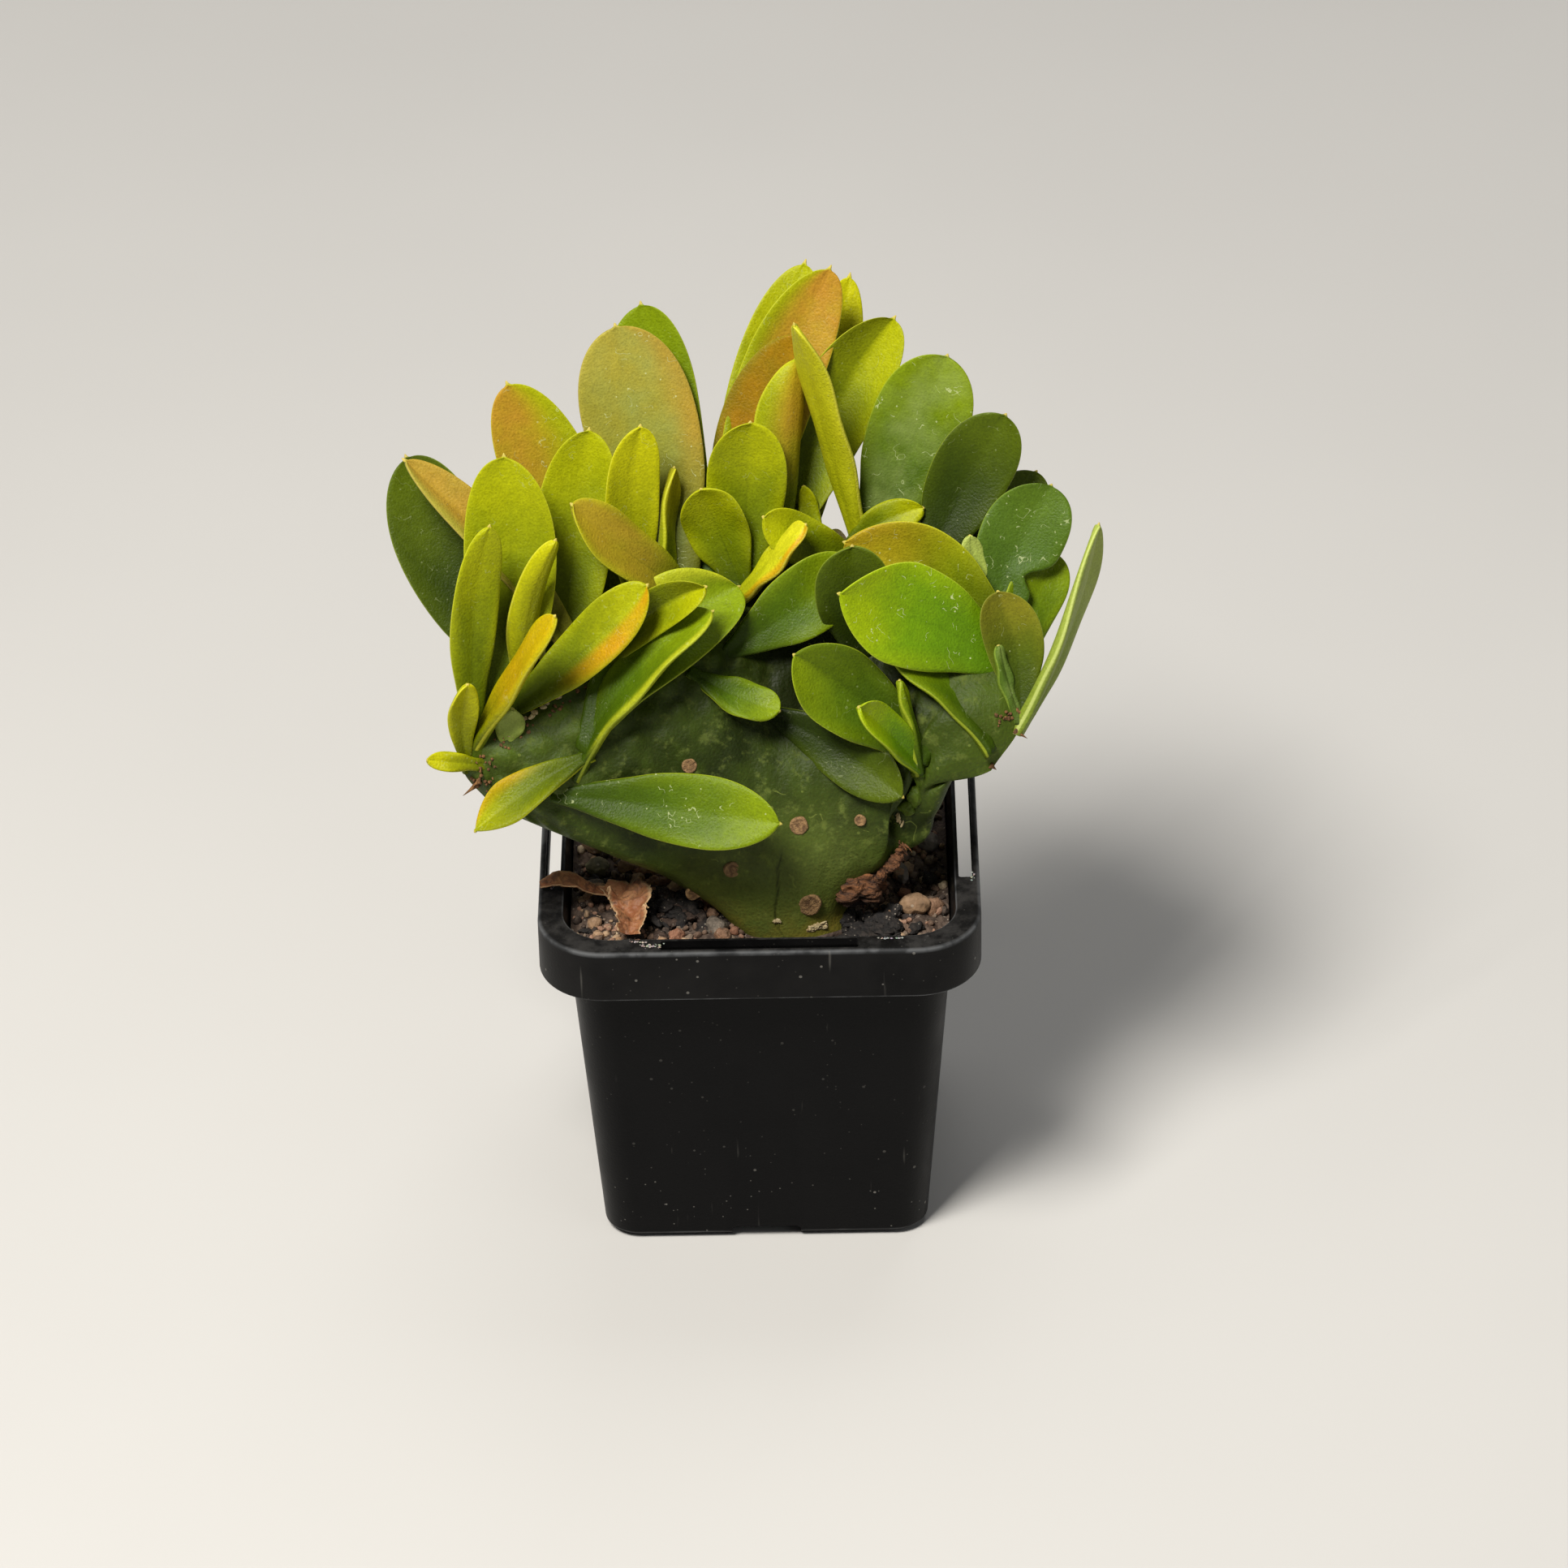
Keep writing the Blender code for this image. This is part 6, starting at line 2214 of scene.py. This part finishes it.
        # The first two heaps are painted shade: near-black chips, lifted to show above the grit, where the
        # hollows beside the stem's foot lie in shade.
        heaps = (
            ((-14.0, -16.5), (4.0, 3.6), 60, dark[1:], 1.0),
            ((17.6, -21.8), (4.2, 3.6), 80, dark[3:], 1.5),
            ((-13.5, -9.0), (6.0, 3.5), 12, pale, 1.0),
            ((-24.0, -25.0), (5.0, 3.0), 4, pale, 0.5),
        )
        for (x, y), (spread_x, spread_y), count, tints, lift in heaps:
            for _ in range(count):
                across = draw.uniform(x - spread_x, x + spread_x) * MM
                deep = draw.uniform(y - spread_y, y + spread_y) * MM
                spots.append(((across, deep), tints, draw.uniform(0.2, 1.0) * lift * MM))
        for (x, y), tints, lift in spots:
            size = draw.uniform(0.8, 2.0)
            sizes = (size * MM, size * draw.uniform(0.5, 0.9) * MM, size * draw.uniform(0.25, 0.5) * MM)
            ball = Ball(sizes, 0.5, 1.6, 0.35, 3, draw.uniform(0, 90))
            hinge = Vector((draw.uniform(-1, 1), draw.uniform(-1, 1), 0)).normalized()
            tilt = Quaternion(hinge, draw.uniform(-0.6, 0.6))
            turn = tilt @ Quaternion((0, 0, 1), draw.uniform(0, pi))
            place = Vector((x, y, self.crumbs(x, y) + sizes[2] * 0.4 + lift))
            skin.lump(ball, place, turn, tint=draw.choice(tints))
        finish = EarthFinish("bark_chip", 900.0, 0.0003, dusty=0.06).build(self.effects)
        piece("mix_chips", skin, finish, "potting_mix", "potting_mix")

    def build(self) -> None:
        """Makes the mix."""
        self.build_bed()
        self.build_grit()
        self.build_chips()


class StoneTone(Enum):
    """The tones that the stones have, with the record's slot for each."""

    TAN = ("stone_tan", shade(142, 112, 82))
    OLIVE = ("stone_olive", shade(108, 102, 74))
    GREY = ("stone_grey", shade(116, 108, 100))


@dataclass(frozen=True)
class Stone:
    """A stone on the mix: the node that it stands for, its place and half sizes in millimetres."""

    node: str
    centre: tuple[float, float]
    half_sizes: tuple[float, float, float]
    turn: float
    tone: StoneTone

    def build(self, mix: PottingMix, finish: Material, seed: int) -> None:
        """Makes the stone.

        Args:
            mix: what it lies on.
            finish: its material.
            seed: what sets its unevenness.
        """
        skin = Skin()
        slot, colour = self.tone.value
        x, y = (value * MM for value in self.centre)
        middle = Vector((x, y, mix.height(x, y) + self.half_sizes[2] * 0.75 * MM))
        ball = Ball(tuple(size * MM for size in self.half_sizes), 0.14, 1.2, 0.16, 5, seed * 3.1 + 1)
        turn = Quaternion((0, 0, 1), radians(self.turn))
        skin.lump(ball, middle, turn, tint=colour)
        piece(f"{self.node.removeprefix('stone_')}_stone", skin, finish, slot, self.node)


STONES = (
    Stone("stone_left_back", (-26.5, 1.0), (2.3, 2.6, 1.9), 20, StoneTone.TAN),
    Stone("stone_left_olive", (-26.0, -5.0), (2.1, 2.0, 1.5), 70, StoneTone.OLIVE),
    Stone("stone_left_round", (-21.3, -5.6), (1.5, 1.6, 1.3), 10, StoneTone.TAN),
    Stone("stone_left_pale", (-17.9, -6.6), (1.4, 1.9, 1.3), 40, StoneTone.TAN),
    Stone("stone_right_grey", (27.0, -0.5), (1.9, 2.3, 1.5), 15, StoneTone.GREY),
    Stone("stone_right_long", (22.6, -8.2), (1.2, 2.7, 1.2), 12, StoneTone.GREY),
    Stone("stone_right_tan", (24.6, -18.2), (2.6, 1.9, 1.8), 5, StoneTone.TAN),
)


@dataclass(frozen=True)
class DryLeaf:
    """The dead leaf over the left rim: a papery strip with a thin tail and a crumpled flap."""

    effects: SharedEffects
    strip: tuple[tuple[Point, float], ...] = (
        ((-34.6, -17.4, 64.3), 0.7),
        ((-32.6, -17.2, 65.3), 1.5),
        ((-30.2, -16.8, 64.7), 1.9),
        ((-27.0, -16.0, 62.6), 1.4),
        ((-23.5, -15.4, 61.6), 1.3),
        ((-19.8, -15.0, 61.6), 0.8),
        ((-16.6, -14.6, 61.2), 0.25),
    )
    flap: tuple[tuple[Point, float], ...] = (
        ((-24.4, -14.6, 61.2), 1.2),
        ((-22.0, -16.4, 62.3), 2.4),
        ((-20.6, -19.0, 62.9), 3.3),
        ((-20.8, -21.6, 62.0), 2.9),
        ((-20.3, -23.8, 61.9), 2.4),
        ((-20.6, -25.8, 60.6), 1.7),
    )
    thickness: float = 0.00026
    stations: int = 110
    across: int = 20

    def add_sheet(self, skin: Skin, path: Sequence[tuple[Point, float]], crumple: float, seed: float) -> None:
        """Adds one thin crumpled sheet.

        Args:
            skin: the mesh that it goes into.
            path: its middle line in millimetres, with half its width.
            crumple: how crumpled it is, from 0 to 1.
            seed: what sets its creases.
        """
        places = [place for place, _ in path]
        halves = [(i / (len(path) - 1), half) for i, (_, half) in enumerate(path)]
        rings = []
        for i in range(self.stations + 1):
            t = i / self.stations
            centre = catmull(places, t) * MM
            along = (catmull(places, min(t + 0.01, 1)) - catmull(places, max(t - 0.01, 0))).normalized()
            side = along.cross(Vector((0, 0, 1))).normalized()
            up = side.cross(along)
            half = catmull_value(halves, t) * MM
            upper, lower = [], []
            for k in range(self.across + 1):
                s = 2 * k / self.across - 1
                torn = Vector((t * 7, copysign(3.0, s), seed))
                ragged = 1 + crumple * (0.22 * rumple(torn, 2.2) + 0.12 * rumple(torn, 7.0)) * abs(s)
                curl = half * s * s * (0.2 + 0.5 * crumple * (0.5 + rumple(torn, 0.9)))
                place = centre + side * s * half * ragged + up * curl
                creases = 0.0010 * rumple(place, 190.0, seed) + 0.0006 * rumple(place, 480.0, seed + 5)
                creases += 0.0002 * rumple(place, 1400.0, seed + 8)
                place += up * creases * (0.35 + crumple)
                edge = smoothstep(0.8, 1.0, abs(s)) * (0.3 + 0.5 * crumple * (0.5 + rumple(torn, 1.7)))
                upper.append(skin.add(place + up * self.thickness / 2, edge=edge))
                lower.append(skin.add(place - up * self.thickness / 2, edge=edge))
            rings.append(upper + lower[::-1])
        skin.tube(rings)

    def build(self) -> None:
        """Makes the dry leaf."""
        skin = Skin()
        self.add_sheet(skin, self.strip, 0.25, 3.0)
        self.add_sheet(skin, self.flap, 1.0, 11.0)
        piece("dry_leaf_strip", skin, DryLeafFinish().build(self.effects), "dry_leaf", "dry_leaf")


@dataclass(frozen=True)
class Studio:
    """A pale floor, soft lights and a long lens that looks down on the pot from the front."""

    azimuth: float = 0.5
    elevation: float = 34.4
    roll: float = -1.2
    distance: float = 1.050
    focal_pixels: float = 8085.0
    image_pixels: float = 1932.0
    sensor: float = 36.0
    target: Vector = Vector((4.1, 0.0, 71.3)) * MM
    floor_reach: float = 2.5
    surroundings: Colour = (0.80, 0.80, 0.81)
    surroundings_strength: float = 0.10

    def build_camera(self) -> None:
        """Makes the camera at the photograph's angle."""
        azimuth, elevation, roll = map(radians, (self.azimuth, self.elevation, self.roll))
        level = cos(elevation)
        back = Vector((sin(azimuth) * level, -cos(azimuth) * level, sin(elevation)))
        right = Vector((cos(azimuth), sin(azimuth), 0))
        up = back.cross(right)
        x_axis = right * cos(roll) + up * sin(roll)
        y_axis = up * cos(roll) - right * sin(roll)
        camera = bpy.data.cameras.new("camera")
        camera.sensor_width = self.sensor
        camera.lens = self.focal_pixels / self.image_pixels * self.sensor
        camera.clip_start = 0.01
        obj = place_object("camera", camera)
        turn = Matrix((x_axis, y_axis, back)).transposed().to_4x4()
        obj.matrix_world = Matrix.Translation(self.target + POT_PLACE + back * self.distance) @ turn
        bpy.context.scene.camera = obj

    def build_floor(self, effects: SharedEffects) -> None:
        """Makes the plain pale floor."""
        mesh = bpy.data.meshes.new("floor")
        ways = ((-1, -1), (1, -1), (1, 1), (-1, 1))
        corners = [(x * self.floor_reach, y * self.floor_reach, 0) for x, y in ways]
        mesh.from_pydata(corners, [], [(0, 1, 2, 3)])
        mesh.materials.append(FloorFinish().build(effects))
        obj = place_object("floor", mesh)
        obj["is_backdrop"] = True

    def build_light(self, name: str, place: Point, size: float, power: float, colour: Colour) -> None:
        """Makes one soft square light that faces the plant.

        Args:
            name: its name.
            place: where it is, in metres.
            size: its width in metres.
            power: its power in watts.
            colour: its colour.
        """
        light = bpy.data.lights.new(name, "AREA")
        light.size = size
        light.energy = power
        light.color = colour
        obj = place_object(name, light)
        obj.location = place
        obj.rotation_mode = "QUATERNION"
        aim = Vector((0, 0, 0.09)) - Vector(place)
        obj.rotation_quaternion = aim.to_track_quat("-Z", "Y")

    def build(self, effects: SharedEffects) -> None:
        """Makes the floor, the lights, the surroundings and the camera."""
        self.build_floor(effects)
        self.build_light("key", (-0.34, -0.46, 1.05), 0.36, 19.0, (1.0, 0.97, 0.92))
        self.build_light("fill", (0.80, -0.60, 0.60), 0.8, 1.0, (0.94, 0.97, 1.0))
        self.build_light("top", (0.1, 0.45, 0.95), 0.6, 2.6, (1.0, 1.0, 1.0))
        world = bpy.data.worlds.new("studio")
        world.use_nodes = True
        background = world.node_tree.nodes["Background"]
        background.inputs["Color"].default_value = (*self.surroundings, 1)
        background.inputs["Strength"].default_value = self.surroundings_strength
        bpy.context.scene.world = world
        bpy.context.scene.view_settings.view_transform = "Standard"
        self.build_camera()


def main() -> None:
    """Builds the studio, the pot, the mix with its stones, the stem, the leaves and the dry leaf."""
    logging.basicConfig(level=logging.INFO, format="%(name)s: %(message)s")
    effects = SharedEffects()
    Studio().build(effects)
    fan = CrestedFan()
    pot = Pot(effects, width=pot_high.x - pot_low.x, height=pot_high.z - pot_low.z)
    pot.build()
    mix = PottingMix(pot, fan, effects)
    mix.build()
    stone_finish = EarthFinish("stone_face", 500.0, 0.00025, 0.8).build(effects)
    for seed, stone in enumerate(STONES):
        stone.build(mix, stone_finish, seed)
    DryLeaf(effects).build()
    Stem(fan, effects).build()
    foliage = Foliage(fan, LeafFinish().build(effects))
    foliage.build("left_leaves", LEFT_LEAVES, 100)
    foliage.build("crown_leaves", CROWN_LEAVES, 200)
    foliage.build("middle_leaves", MIDDLE_LEAVES, 300)
    foliage.build("right_leaves", RIGHT_LEAVES, 400)
    foliage.build("back_leaves", foliage.back_leaves(), 500)
    boxes = {"cad": cad_box, "visual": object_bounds()}
    {name: [list(corner) for corner in box] for name, box in boxes.items()}


if __name__ == "__main__":
    main()
